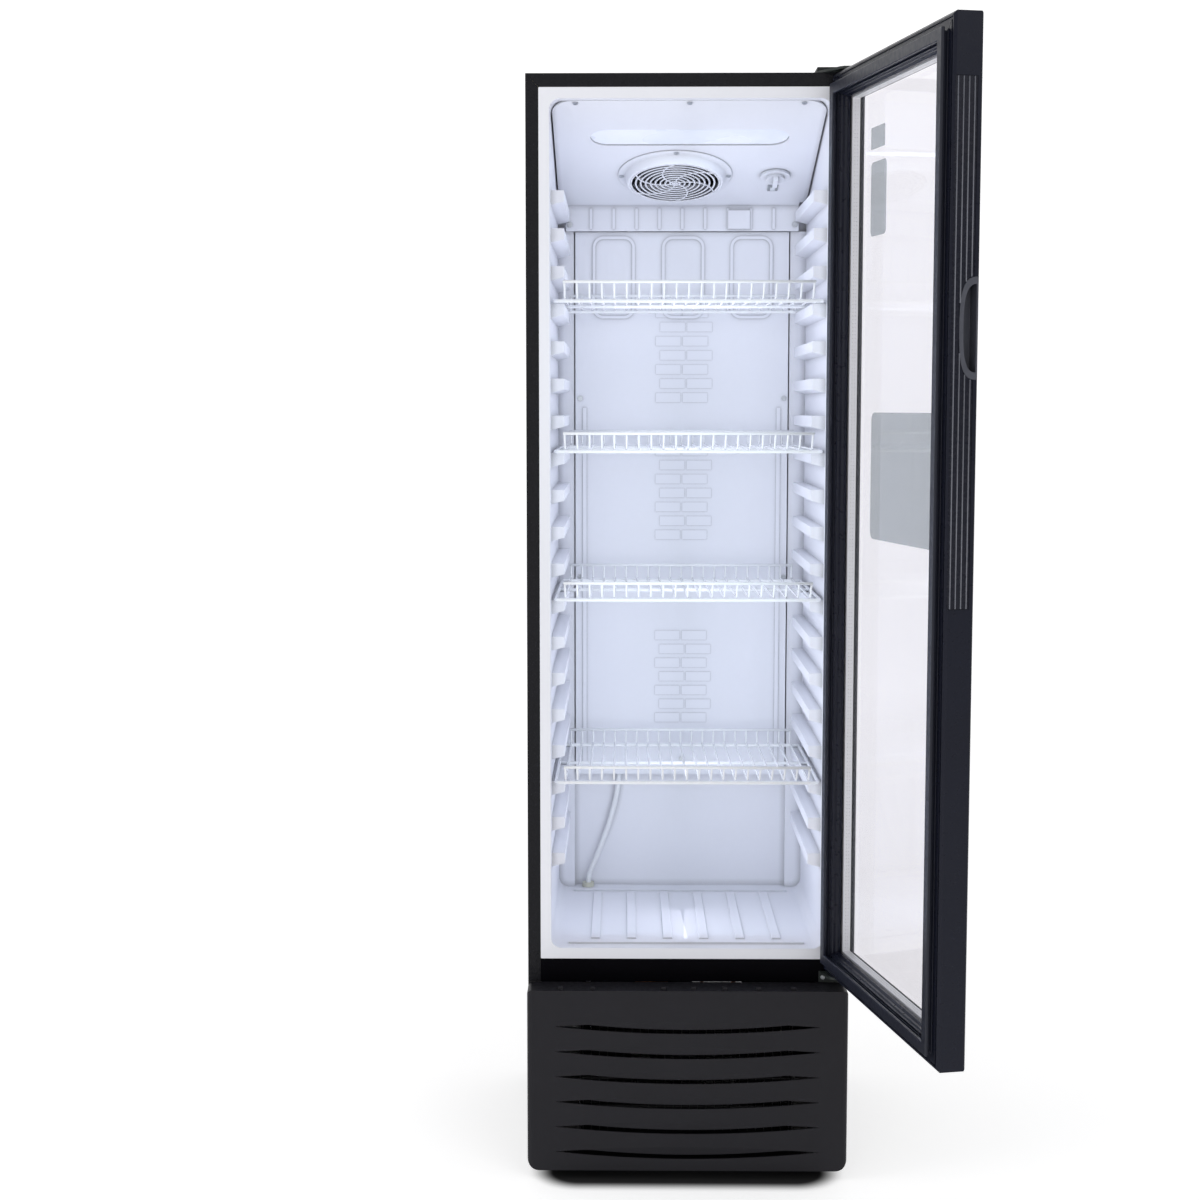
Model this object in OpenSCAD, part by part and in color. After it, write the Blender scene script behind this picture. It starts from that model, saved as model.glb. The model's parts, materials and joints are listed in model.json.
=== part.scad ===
// Slim single-door glass merchandiser.
// It is drawn from the floor, the middle of its width and its front face, and placed() then
// moves the origin to the middle of the left levelling foot's underside.
// +X is the user's right, +Y runs back into the cabinet, +Z is up. All sizes are millimetres.

/* [Cabinet] */
// Width of the cabinet
cabinet_w = 535; // [530:1:545]
// Depth of the cabinet, front face to back panel
cabinet_d = 510; // [506:1:530]
// Height of the cabinet's top above the floor
cabinet_h = 1828; // [1826:1:1834]
// Thickness of the painted steel skin
sheet = 0.8; // [0.6:0.1:0.9]
// Width of the black face frame at each side of the opening
face_side = 21.2; // [20:0.2:21.6]
// Height of the black face frame over the opening
face_top = 22.2; // [21:0.2:23]
// Bottom of the liner's flange
mouth_bottom = 365; // [362:1:367]

/* [Liner] */
// Wall thickness of the liner
liner_t = 1.5; // [1:0.1:1.6]
// Half of the inside width
inside_half = 229; // [228.6:0.1:229.4]
// Height of the liner's floor above the ground
floor_z = 383; // [382:1:384]
// Depth of the inside
inside_d = 455; // [453:1:458]
// Radius of the liner's long corners
liner_r = 18; // [12:1:20]
// Height of the lowest shelf ledge
ledge_first = 532; // [530:1:534]
// Height from one ledge to the next
ledge_pitch = 62; // [61:0.5:62]
// How far a ledge stands in from the wall
ledge_reach = 22; // [18:1:23]

/* [Shelves] */
// Ledge that the bottom shelf rests on
shelf_4_ledge = 2; // [1:1:3]
// Ledge that the third shelf rests on
shelf_3_ledge = 7; // [6:1:8]
// Ledge that the second shelf rests on
shelf_2_ledge = 11; // [10:1:12]
// Ledge that the top shelf rests on
shelf_1_ledge = 15; // [14:1:15]
// Spaces between the wires across a shelf
shelf_cells = 20; // [14:1:24]

/* [Ceiling cover] */
// Slope of the ceiling cover, falling to the back
cover_slope = 17.5; // [17:0.5:18]
// Sideways place of the fan
fan_x = -17; // [-40:1:20]
// Radius of the fan grille's open face
grille_r = 82; // [76:1:84]
// Radius of the thermostat knob
knob_r = 26; // [20:1:28]

/* [Door] */
// Door angle at rest, where 0 is closed
door_angle = 102; // [0:1:104]
// Thickness of the door
door_t = 42; // [41:0.5:43]
// Width of the door
door_w = 530; // [520:1:531]
// Bottom edge of the door above the floor
door_bottom = 349; // [347:1:350]
// Top edge of the door above the floor
door_top = 1824; // [1822:1:1824]
// Height of the middle of the handle cup
handle_z = 1398; // [1200:1:1500]

/* [Base] */
// How far the base cover stands in front of the cabinet
base_front = 54; // [50:1:56]
// Bottom edge of the base cover
base_bottom = 17; // [14:1:20]
// Top edge of the base cover
base_top = 325; // [323:1:326]
// Number of louvre slots in the base cover
louvre_count = 6; // [3:1:6]

/* [Hidden] */

gap = 0.1;
half_w = cabinet_w / 2;
mouth_half = half_w - face_side;
mouth_top = cabinet_h - face_top;
ceiling_z = mouth_top - (floor_z - mouth_bottom);
foam_bottom = 337;
rail_bottom = 326;
ledge_count = 19;
ledge_front = 62;
ledge_back = 418;

// Ceiling cover: the visible face starts at the front and falls to the back.
cover_half = 226;
cover_rear_half = 214;
cover_corner = 40;
cover_t = 2.5;
cover_y = 22;
cover_z = ceiling_z - 0.5;
cover_rear_y = 431;
cover_rear_z = cover_z - (cover_rear_y - cover_y) * tan(cover_slope);
strip_bottom = 1613;
fan_along = 288;
knob_x = 160;
knob_along = 290;
switch_along = 345;
lamp_along = 139;
lamp_x = 4;
lamp_len = 336;
lamp_w = 62;
fan_hole_r = grille_r + 7;

duct_y = 434;
duct_half = 197;
duct_bottom = 600;

// Hinge line, kept close to the front corner so that the door clears the cabinet as it turns.
hinge_inset = 20.3;
hinge_back = 27.3;
door_edge = half_w - 0.5;
door_front = -54;
hinge_x = door_edge - hinge_inset;
hinge_y = door_front + hinge_back;
hinge_pin_r = 4;
running_gap = 0.05;
bush_r = 6.5;
bush_len = 12;

// Glass pocket in the door frame, measured from the door's front face.
pocket_front = 6;
pocket_back = 25.2;
frame_band = 42;
glass_edge = 30;
glass_t = 3;

pan_z = 30;
roller_r = 14;
roller_x = 215;
roller_y = 465;
foot_x = 215;
foot_y = 45;
shaft_r = 3;

// ---------- Helpers ----------

// Moves the finished drawing so that the origin is under the left levelling foot.
module placed() {
    translate([foot_x, -foot_y, 0]) children();
}

// A box given by its lowest and highest corners.
module block(low, high) {
    translate(low) cube(high - low);
}

// A straight rod between two points.
module rod(from, to, r, sides = 24) {
    run = to - from;
    len = norm(run);
    translate(from)
        rotate([0, acos(run.z / len), atan2(run.y, run.x)])
            cylinder(r = r, h = len, $fn = sides);
}

// A chain of twelve-sided rods. Each runs a little past its ends, so that the bends close.
module tube_path(points, r) {
    for (i = [0 : len(points) - 2]) {
        run = points[i + 1] - points[i];
        over = run / norm(run) * r * 0.3;
        rod(points[i] - (i > 0 ? over : [0, 0, 0]),
            points[i + 1] + (i < len(points) - 2 ? over : [0, 0, 0]), r, 12);
    }
}

// An XZ outline pushed through in Y.
module through_y(y_from, y_to) {
    translate([0, y_to, 0]) rotate([90, 0, 0]) linear_extrude(y_to - y_from) children();
}

// A YZ outline pushed through in X.
module through_x(x_from, x_to) {
    translate([x_from, 0, 0]) rotate([90, 0, 90]) linear_extrude(x_to - x_from) children();
}

// A rectangle with round corners, centred.
module round_rect(w, h, r) {
    square([w - 2 * r, h], center = true);
    square([w, h - 2 * r], center = true);
    for (x = [-1, 1], y = [-1, 1])
        translate([x * (w / 2 - r), y * (h / 2 - r)]) circle(r = r, $fn = 32);
}

// A pan-head screw with its head towards +Z.
module screw(head_r = 4, head_h = 2, shank_r = 1.8, shank_len = 8) {
    difference() {
        cylinder(r = head_r, h = head_h, $fn = 24);
        translate([0, 0, head_h - 0.8]) {
            cube([head_r, 0.9, 2], center = true);
            cube([0.9, head_r, 2], center = true);
        }
    }
    translate([0, 0, -shank_len]) cylinder(r = shank_r, h = shank_len + 0.1, $fn = 24);
}

// Puts a shape on the sloping ceiling cover: +Z is out of the visible face, +Y to the front.
module on_cover(x, along) {
    translate([x, cover_y + along * cos(cover_slope), cover_z - along * sin(cover_slope)])
        rotate([180 - cover_slope, 0, 0]) children();
}

// Turns a shape that is drawn with the door closed to the door's angle at rest.
module on_door() {
    translate([hinge_x, hinge_y, 0]) rotate([0, 0, door_angle]) translate([-hinge_x, -hinge_y, 0])
        children();
}

// A fan wheel on a shaft: the blades stand between z = 0 and z = depth.
module fan_wheel(r, hub_r, blades, depth, shaft_back) {
    cylinder(r = hub_r, h = depth, $fn = 48);
    intersection() {
        cylinder(r = r, h = depth, $fn = 96);
        for (i = [0 : blades - 1])
            rotate([0, 0, i * 360 / blades])
                translate([hub_r - 3, 0, depth / 2]) rotate([32, 0, 0])
                    translate([0, -depth * 0.8, -0.8]) cube([r, depth * 1.6, 1.6]);
    }
    translate([0, 0, -shaft_back]) cylinder(r = shaft_r, h = shaft_back + 1, $fn = 24);
}

// ---------- Cabinet skin ----------

module side_panel(side) {
    color("#17171a") mirror([side < 0 ? 1 : 0, 0, 0]) {
        block([half_w - sheet, 0, pan_z], [half_w, cabinet_d, cabinet_h]);
        through_y(0, sheet) polygon([
            [half_w, rail_bottom], [half_w, cabinet_h],
            [half_w - face_side, cabinet_h - face_top], [half_w - face_side, rail_bottom]
        ]);
    }
}

module top_panel() {
    end = half_w - sheet - gap;
    color("#17171a") {
        block([-end, 0, cabinet_h - sheet], [end, cabinet_d, cabinet_h]);
        through_y(0, sheet) polygon([
            [-end, cabinet_h], [end, cabinet_h], [end, cabinet_h - sheet],
            [mouth_half - gap, mouth_top + 0.2], [gap - mouth_half, mouth_top + 0.2],
            [-end, cabinet_h - sheet]
        ]);
    }
}

module back_panel() {
    end = half_w - sheet - gap;
    color("#1b1b1e")
        block([-end, cabinet_d - sheet, foam_bottom], [end, cabinet_d, cabinet_h - sheet - gap]);
}

module cross_rail() {
    end = mouth_half - gap;
    color("#0d0d10") difference() {
        union() {
            block([-end, 0, rail_bottom], [end, 1.2, mouth_bottom - gap]);
            block([-end, 0, rail_bottom], [end, 30, rail_bottom + 1.2]);
        }
        for (x = bottom_screw_x)
            translate([x, -1, bottom_screw_z]) rotate([-90, 0, 0]) cylinder(r = 2, h = 4, $fn = 24);
    }
}

module foam_insulation() {
    end = half_w - sheet - gap;
    tub = inside_half + liner_t + gap;
    tub_low = floor_z - liner_t - gap;
    tub_high = ceiling_z + liner_t + gap;
    color("#e6dcae") difference() {
        block([-end, liner_t + gap, foam_bottom],
              [end, cabinet_d - sheet - gap, cabinet_h - sheet - gap]);
        block([-tub, -1, tub_low], [tub, inside_d + liner_t + gap, tub_high]);
        pipe_holes(7);
        translate([drain_x, drain_y, foam_bottom - 1]) cylinder(r = 13, h = 60, $fn = 32);
        // Clear of the cross rail's lower return.
        block([-mouth_half, -1, foam_bottom - 1], [mouth_half, 31, foam_bottom + 0.5]);
    }
}

// ---------- Liner ----------

drain_x = -174;
drain_y = 436;
pipe_x = 186;
pipe_z = 1728;
pipe_back = cabinet_d - 22;

module pipe_holes(r) {
    translate([pipe_x, inside_d - 2, pipe_z]) rotate([-90, 0, 0])
        cylinder(r = r, h = pipe_back - inside_d + 2 + r, $fn = 32);
    translate([pipe_x, pipe_back, foam_bottom - 1])
        cylinder(r = r, h = pipe_z - foam_bottom + 1 + r, $fn = 32);
}

module liner() {
    mid_z = (floor_z + ceiling_z) / 2;
    height = ceiling_z - floor_z;
    color("#f4f6fa") {
        difference() {
            union() {
                translate([0, 0, (mouth_bottom + mouth_top) / 2]) through_y(0, liner_t)
                    round_rect(2 * mouth_half - 0.2, mouth_top - mouth_bottom, 2);
                translate([0, 0, mid_z]) through_y(0, inside_d + liner_t)
                    round_rect(2 * (inside_half + liner_t), height + 2 * liner_t, liner_r + liner_t);
            }
            translate([0, 0, mid_z]) through_y(-1, inside_d)
                round_rect(2 * inside_half, height, liner_r);
            translate([drain_x, drain_y, floor_z - 5]) cylinder(r = 9, h = 10, $fn = 32);
            translate([pipe_x, inside_d - 1, pipe_z]) rotate([-90, 0, 0]) cylinder(r = 7, h = 4, $fn = 32);
            for (p = cover_screws) on_cover(p.x, p.y) translate([0, 0, -8])
                cylinder(r = 2, h = 8, $fn = 24);
        }
        for (side = [-1, 1]) corner_column(side);
        for (n = [0 : ledge_count - 1], side = [-1, 1]) ledge(side, ledge_first + n * ledge_pitch);
        floor_ribs();
    }
}

// One moulded shelf ledge: flat on top, its underside rising inwards.
module ledge(side, z) {
    mirror([side < 0 ? 1 : 0, 0, 0]) through_y(ledge_front, ledge_back) polygon([
        [inside_half + 1, z], [inside_half - ledge_reach, z],
        [inside_half - ledge_reach, z - 18], [inside_half + 1, z - 24]
    ]);
}

// The liner's back corners stand forward, with a narrow slot between each and the duct panel.
module corner_column(side) {
    slot = 2.5;
    mirror([side < 0 ? 1 : 0, 0, 0])
        block([duct_half + slot, duct_y + 3, floor_z - 0.5],
              [inside_half + 0.5, inside_d + 0.5, strip_bottom]);
}

// Shallow ribs that keep goods off the wet floor, and a bead across its front and its back.
module floor_ribs() {
    rib_count = 6;
    rib_pitch = 62;
    for (i = [0 : rib_count - 1])
        translate([(i - (rib_count - 1) / 2) * rib_pitch, 0, 0])
            through_y(60, 385) polygon([
                [-9, floor_z - 1], [9, floor_z - 1], [7, floor_z + 2.5], [-7, floor_z + 2.5]
            ]);
    for (y = [28, 396]) block([-200, y, floor_z - 1], [200, y + 8, floor_z + 3]);
}

module duct_panel() {
    wall = 2;
    brick_w = 46;
    brick_h = 17;
    brick_pitch = 26;
    rib_x = duct_half - 17;
    rib_half = 3.5;
    color("#edf2f9") difference() {
        union() {
            block([-duct_half, duct_y, duct_bottom], [duct_half, duct_y + wall, strip_bottom - 1]);
            for (side = [-1, 1])
                block([side * duct_half - (side > 0 ? wall : 0), duct_y, duct_bottom],
                      [side * duct_half + (side > 0 ? 0 : wall), inside_d - gap, strip_bottom - 1]);
            for (x = [-126, 2, 128]) duct_arch(x);
            for (side = [-1, 1])
                block([side * rib_x - rib_half, duct_y - 2, duct_bottom + 20],
                      [side * rib_x + rib_half, duct_y + 0.5, 1290]);
            for (first = [700, 1045, 1300], row = [0 : 6], x = [-1, 1])
                translate([x * 25 + (row % 2) * 8, 0, first + row * brick_pitch])
                    block([-brick_w / 2, duct_y - 1, 0], [brick_w / 2, duct_y + 0.5, brick_h]);
        }
        for (p = duct_screws) translate([p.x, duct_y - 5, p.y]) rotate([-90, 0, 0])
            cylinder(r = 2, h = 10, $fn = 24);
    }
}

duct_screws = [[-188, 1307], [190, 1307], [-188, 974], [192, 974], [3, 630]];

// A raised ridge with a round top, one of the row across the top of the duct panel.
module duct_arch(x) {
    arch_w = 78;
    arch_h = 150;
    arch_top = 1604;
    ridge = 5;
    translate([x, 0, arch_top - arch_h / 2]) through_y(duct_y - 2.6, duct_y + 0.5) difference() {
        round_rect(arch_w, arch_h, 20);
        round_rect(arch_w - 2 * ridge, arch_h - 2 * ridge, 20 - ridge);
    }
}

// ---------- Ceiling cover and what it carries ----------

cover_screws = [[-187, 8], [0, 8], [187, 8]];

module evaporator_cover() {
    color("#f0f3f9") difference() {
        union() {
            intersection() {
                through_x(-cover_half, cover_half) polygon([
                    [cover_y, cover_z], [cover_rear_y, cover_rear_z],
                    [cover_rear_y, cover_rear_z + cover_t],
                    [cover_y + 8, cover_z - 8 * tan(cover_slope) + cover_t], [cover_y, ceiling_z - gap]
                ]);
                translate([0, cover_y + 300, strip_bottom]) linear_extrude(200)
                    round_rect(2 * cover_half, 600, cover_corner);
            }
            block([-cover_rear_half, cover_rear_y - cover_t, strip_bottom],
                  [cover_rear_half, cover_rear_y, cover_rear_z + cover_t]);
            for (side = [-1, 1]) cover_cheek(side);
            for (i = [-4 : 4])
                block([i * 42 - 2.5, cover_rear_y - cover_t - 2, strip_bottom + 4],
                      [i * 42 + 2.5, cover_rear_y - cover_t + 0.1, cover_rear_z - 4]);
            block([84, cover_rear_y - cover_t - 5, strip_bottom + 4],
                  [124, cover_rear_y - cover_t + 0.1, cover_rear_z - 8]);
        }
        on_cover(fan_x, fan_along) translate([0, 0, -10]) cylinder(r = fan_hole_r, h = 20, $fn = 96);
        on_cover(lamp_x, lamp_along) translate([0, 0, -10]) linear_extrude(20)
            round_rect(lamp_len + 0.8, lamp_w + 0.8, (lamp_w + 0.8) / 2 - 0.01);
        on_cover(knob_x, knob_along) translate([0, 0, -10]) cylinder(r = 8, h = 20, $fn = 32);
        on_cover(knob_x, switch_along) translate([-7.2, -10.2, -10]) cube([14.4, 20.4, 20]);
        for (p = cover_screws) on_cover(p.x, p.y) translate([0, 0, -8])
            cylinder(r = 2, h = 16, $fn = 24);
        for (p = grille_screws) on_cover(fan_x, fan_along) translate([p.x, p.y, -8])
            cylinder(r = 1.8, h = 16, $fn = 24);
        // The back corners are cut in, clear of the liner's ledges.
        for (side = [-1, 1]) translate([side * (cover_rear_half + 20), 419 + 20, 1600])
            cube([40, 50, 400], center = true);
    }
}

// Side wall that closes the cover up to the ceiling.
module cover_cheek(side) {
    edge = side * cover_half;
    front = cover_y + cover_corner;
    rear = 415;
    through_x(edge - (side > 0 ? 2 : 0), edge + (side > 0 ? 0 : 2)) polygon([
        [front, cover_z - (front - cover_y) * tan(cover_slope) + 0.1],
        [rear, cover_z - (rear - cover_y) * tan(cover_slope) + 0.1],
        [rear, ceiling_z - 24], [90, ceiling_z - 13]
    ]);
}

module liner_screws() {
    color("#9aa0a8") {
        for (p = duct_screws) translate([p.x, duct_y - 0.05, p.y]) rotate([90, 0, 0]) screw(4.2, 2, 1.9, 6);
        for (p = cover_screws) on_cover(p.x, p.y) translate([0, 0, 0.05]) screw(4.2, 2, 1.9, 4);
        for (p = grille_screws) on_cover(fan_x, fan_along) translate([p.x, p.y, 3.05])
            screw(4, 1.8, 1.6, 10);
        for (side = [-1, 1])
            translate([side * (cover_rear_half - 7), cover_rear_y - cover_t - 0.05, strip_bottom + 12])
                rotate([90, 0, 0]) screw(4.6, 2, 1.8, 0);
    }
}

grille_screw_r = fan_hole_r + 6;
grille_screws = [[-grille_screw_r, 0], [grille_screw_r, 0], [0, grille_screw_r]];

module fan_grille() {
    drop = 18;
    ring_pitch = 8.7;
    color("#f2f4f8") on_cover(fan_x, fan_along) difference() {
        union() {
            rotate_extrude($fn = 96) polygon([
                [fan_hole_r - 2, 0.1], [fan_hole_r + 12, 0.1], [fan_hole_r + 12, 2], [fan_hole_r + 10, 3],
                [fan_hole_r, 3], [grille_r + 2.5, drop], [grille_r - 2.5, drop], [grille_r - 2.5, drop - 2.5],
                [grille_r, drop - 2.5]
            ]);
            translate([0, 0, drop - 2.5]) linear_extrude(2.5) {
                for (i = [0 : 8]) difference() {
                    circle(r = 10.5 + i * ring_pitch, $fn = 96);
                    circle(r = 6.3 + i * ring_pitch, $fn = 96);
                }
                circle(r = 5, $fn = 48);
                for (i = [0 : 5]) rotate(i * 60) spiral_spoke();
            }
        }
        for (p = grille_screws) translate([p.x, p.y, -1]) cylinder(r = 1.8, h = 6, $fn = 24);
    }
}

// One curved arm of the grille, from the middle to the rim.
module spiral_spoke() {
    bend_r = 46;
    intersection() {
        translate([bend_r, 0]) difference() {
            circle(r = bend_r + 1.4, $fn = 96);
            circle(r = bend_r - 1.4, $fn = 96);
        }
        circle(r = grille_r - 1, $fn = 96);
        translate([-10, 0]) square([100, 100]);
    }
}

module evaporator_fan_blade() {
    color("#2c2e31") on_cover(fan_x, fan_along) translate([0, 0, -26]) fan_wheel(72, 20, 5, 20, 16);
}

module evaporator_fan_motor() {
    motor_z = -30;
    arm_r = fan_hole_r + 6;
    color("#3a3d42") on_cover(fan_x, fan_along) difference() {
        union() {
            translate([0, 0, motor_z - 30]) cylinder(r = 24, h = 30, $fn = 48);
            for (a = [75, 195, 315]) rotate([0, 0, a]) {
                translate([20, -5, motor_z - 22]) cube([arm_r - 20, 10, 3]);
                translate([arm_r - 6, -5, motor_z - 22]) cube([6, 10, -cover_t - 0.2 - motor_z + 22]);
            }
        }
        translate([0, 0, motor_z - 16]) cylinder(r = shaft_r + running_gap, h = 20, $fn = 24);
    }
}

module evaporator_coil() {
    coil_half = 172;
    y_rows = [399, 431];
    z_rows = [1706, 1728, 1750, 1772];
    fins = 24;
    color("#c3c8cf") {
        for (i = [0 : fins - 1])
            translate([-coil_half + i * 2 * coil_half / (fins - 1), 0, 0])
                block([-0.4, 386, 1695], [0.4, 444, 1783]);
        for (y = y_rows, z = z_rows) rod([-coil_half - 4, y, z], [coil_half + 4, y, z], 4);
        for (y = y_rows, i = [0, 2]) coil_bend(coil_half + 4, y, z_rows[i] + 11, 0);
        for (y = y_rows) coil_bend(-coil_half - 4, y, z_rows[1] + 11, 180);
    }
}

// A U-bend that joins two tubes which lie one over the other.
module coil_bend(x, y, z, turn) {
    translate([x, y, z]) rotate([0, 0, turn]) rotate([90, 0, 0]) rotate([0, 0, -90])
        rotate_extrude(angle = 180, $fn = 48) translate([11, 0]) circle(r = 4, $fn = 24);
}

module drain_tray() {
    color("#dfe3e8") difference() {
        union() {
            block([-186, 380, 1678.5], [186, 450, 1692]);
            translate([hose_x, hose_y, 1664]) cylinder(r = 3.6, h = 15, $fn = 24);
        }
        block([-184.5, 381.5, 1680], [184.5, 448.5, 1700]);
        translate([hose_x, hose_y, 1660]) cylinder(r = 2.4, h = 30, $fn = 24);
    }
}

hose_x = -100;
hose_y = 445;
hose_r = 5;
hose_points = [
    [hose_x, hose_y, 1676], [-112, hose_y, 640], [-119, hose_y, 568], [-133, 444, 508],
    [-161, 440, 433], [-171, 437, 408], [drain_x, drain_y, 388], [drain_x, drain_y, 100]
];

module drain_hose() {
    color("#f3f5f7") difference() {
        tube_path(hose_points, hose_r);
        translate([hose_x, hose_y, 1663]) cylinder(r = 3.7, h = 20, $fn = 24);
        translate([drain_x, drain_y, 90]) cylinder(r = 3.7, h = 40, $fn = 24);
    }
}

module drain_grommet() {
    color("#c9ccb8") difference() {
        union() {
            translate([drain_x, drain_y, floor_z + gap]) cylinder(r = 11, h = 8, $fn = 32);
            translate([drain_x, drain_y, floor_z - 10]) cylinder(r = 8.9, h = 11, $fn = 32);
        }
        translate([drain_x, drain_y, floor_z - 20]) cylinder(r = hose_r + 0.1, h = 60, $fn = 32);
        tube_path([for (i = [5 : 7]) hose_points[i]], hose_r + 0.1);
    }
}

module lamp_lens() {
    color([0.95, 0.97, 1, 0.8]) on_cover(lamp_x, lamp_along) {
        translate([0, 0, -5]) linear_extrude(2.5) round_rect(lamp_len, lamp_w, lamp_w / 2 - 0.01);
        translate([0, 0, -8]) linear_extrude(3.1) difference() {
            round_rect(lamp_len, lamp_w, lamp_w / 2 - 0.01);
            round_rect(lamp_len - 4, lamp_w - 4, lamp_w / 2 - 2.01);
        }
    }
}

module lamp_board() {
    led_count = 12;
    color("#f7f7f2") on_cover(lamp_x, lamp_along) {
        translate([0, 0, -10]) linear_extrude(1.5) square([300, 16], center = true);
        for (i = [0 : led_count - 1])
            translate([(i - (led_count - 1) / 2) * 24, 0, -8.6]) cube([4, 4, 1.6], center = true);
    }
}

module thermostat_knob() {
    color("#f1f3f6") on_cover(knob_x, knob_along) {
        translate([0, 0, 1]) cylinder(r = knob_r, h = 4, $fn = 64);
        translate([0, 0, 4.9]) cylinder(r = knob_r * 0.62, h = 5, $fn = 64);
        translate([-4, -knob_r * 0.6, 4.9]) cube([8, knob_r * 1.2, 13]);
        translate([0, 0, -13]) cylinder(r = shaft_r, h = 15, $fn = 24);
    }
}

module thermostat_body() {
    color("#b9bec6") on_cover(knob_x, knob_along) difference() {
        translate([-17, -22, -30]) cube([34, 44, 27]);
        translate([0, 0, -16]) cylinder(r = shaft_r + running_gap, h = 20, $fn = 24);
    }
}

module light_switch_rocker() {
    color("#e9ecf0") on_cover(knob_x, switch_along) {
        translate([-4.4, 0, -1]) rotate([90, 0, 90]) linear_extrude(8.8)
            polygon([[-6.6, 1], [6.6, 1], [6.6, 4.4], [0, 3], [-6.6, 4.4]]);
        translate([-4.4, 0, 0]) rotate([0, 90, 0]) cylinder(r = 1.6, h = 8.8, $fn = 24);
        translate([-6.4, 0, 0]) rotate([0, 90, 0]) cylinder(r = 1, h = 12.8, $fn = 24);
    }
}

module light_switch_frame() {
    color("#dfe3ea") on_cover(knob_x, switch_along) difference() {
        union() {
            translate([-7, -10, -8]) cube([14, 20, 9.2]);
            translate([-9, -12, 0.1]) cube([18, 24, 1.6]);
        }
        translate([-5, -8, -6]) cube([10, 16, 20]);
        translate([-6.6, 0, 0]) rotate([0, 90, 0]) cylinder(r = 1 + running_gap, h = 13.2, $fn = 24);
    }
}

// ---------- Shelves ----------

shelf_half = 221.5;
shelf_front = 36;
shelf_back = 412;
rim_r = 3;
wire_r = 1.6;

// A welded wire shelf that rests with its side rods on a pair of ledges.
module shelf(ledge_number) {
    lip_lean = 24;
    lip_up = 26;
    rear_up = 25;
    wire_half = 205;
    pitch = 2 * wire_half / shelf_cells;
    deck = rim_r * 2 + wire_r - 0.6;
    low = rim_r + 0.05;
    color("#f8fafc") translate([0, 0, ledge_first + ledge_number * ledge_pitch]) {
        for (side = [-1, 1])
            rod([side * shelf_half, shelf_front, low], [side * shelf_half, shelf_back, low], rim_r, 12);
        for (y = [shelf_front, (shelf_front + shelf_back) / 2, shelf_back])
            rod([-shelf_half - 2, y, low], [shelf_half + 2, y, low], rim_r, 12);
        for (i = [0 : shelf_cells]) {
            x = i * pitch - wire_half;
            rod([x, shelf_front, deck], [x, shelf_back, deck], wire_r, 8);
            rod([x, shelf_front + 1, deck - 1], [x, shelf_front - lip_lean, deck + lip_up], wire_r, 8);
            rod([x, shelf_back, deck - 1], [x, shelf_back, deck + rear_up], wire_r, 8);
        }
        rod([-wire_half - 2, shelf_front - lip_lean, deck + lip_up],
            [wire_half + 2, shelf_front - lip_lean, deck + lip_up], 2.4, 12);
        rod([-wire_half - 2, shelf_back, deck + rear_up],
            [wire_half + 2, shelf_back, deck + rear_up], 2.4, 12);
    }
}

// ---------- Door, drawn closed ----------

door_left = door_edge - door_w;
door_mid_x = door_edge - door_w / 2;
door_mid_z = (door_top + door_bottom) / 2;
door_h = door_top - door_bottom;

// Cross-section of the door frame: x from the outer edge inwards, y from the front face back.
module door_section() {
    lip = frame_band;
    slot = glass_edge - 1;
    back = door_t;
    polygon([
        [0, 2], [2, 0], [lip - 4, 0], [lip, 4], [lip, pocket_front], [slot, pocket_front],
        [slot, pocket_back], [lip, pocket_back], [lip, back - 12], [lip - 3, back - 9],
        [lip - 3, back - 5], [lip - 5, back - 3], [lip - 5, back], [28.6, back], [28.6, back - 4.6],
        [24.4, back - 4.6], [24.4, back], [11, back], [11, back - 2], [7, back - 2], [7, back],
        [4, back], [0, back - 4]
    ]);
}

// A mitred bar of the door frame, its outer edge on z = 0 and its length along x.
module door_bar(length) {
    mitre_gap = 0.05;
    intersection() {
        translate([-length / 2, 0, 0]) rotate([90, 0, 90]) linear_extrude(length) rotate(90) mirror([0, 1])
            door_section();
        translate([0, door_t + 1, 0]) rotate([90, 0, 0]) linear_extrude(door_t + 2) polygon([
            [mitre_gap - length / 2, 0], [length / 2 - mitre_gap, 0],
            [length / 2 - frame_band - mitre_gap - 1, frame_band + 1],
            [frame_band + mitre_gap + 1 - length / 2, frame_band + 1]
        ]);
    }
}

module place_bar(x, z, turn) {
    translate([x, door_front, z]) rotate([0, turn, 0]) children();
}

module door_hinge_stile() {
    color("#191b24") on_door() place_bar(door_edge, door_mid_z, -90) door_bar(door_h);
}

module door_latch_stile() {
    strip_cut = 3;
    color("#191b24") on_door() difference() {
        place_bar(door_left, door_mid_z, 90) door_bar(door_h);
        block([door_left - 1, door_front + strip_front - 0.1, strip_low - 0.1],
              [door_left + strip_cut, door_front + strip_rear + 0.1, strip_high + 0.1]);
        on_handle(-1) linear_extrude(cup_depth + cup_wall + 1.1)
            cup_outline(cup_r + cup_wall + 0.1, cup_len + 2 * cup_wall + 0.2, cup_skin);
        on_handle(-1) linear_extrude(3.1) cup_outline(cup_rim_r + 0.1, cup_rim_len + 0.2, cup_skin);
    }
}

module door_top_rail() {
    color("#191b24") on_door() difference() {
        place_bar(door_mid_x, door_top, 180) door_bar(door_w);
        translate([hinge_x, hinge_y, door_top - bush_len]) cylinder(r = bush_r + 0.05, h = 20, $fn = 32);
    }
}

module door_bottom_rail() {
    color("#191b24") on_door() difference() {
        place_bar(door_mid_x, door_bottom, 0) door_bar(door_w);
        translate([hinge_x, hinge_y, door_bottom - 5])
            cylinder(r = bush_r + 0.05, h = bush_len + 5, $fn = 32);
    }
}

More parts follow.
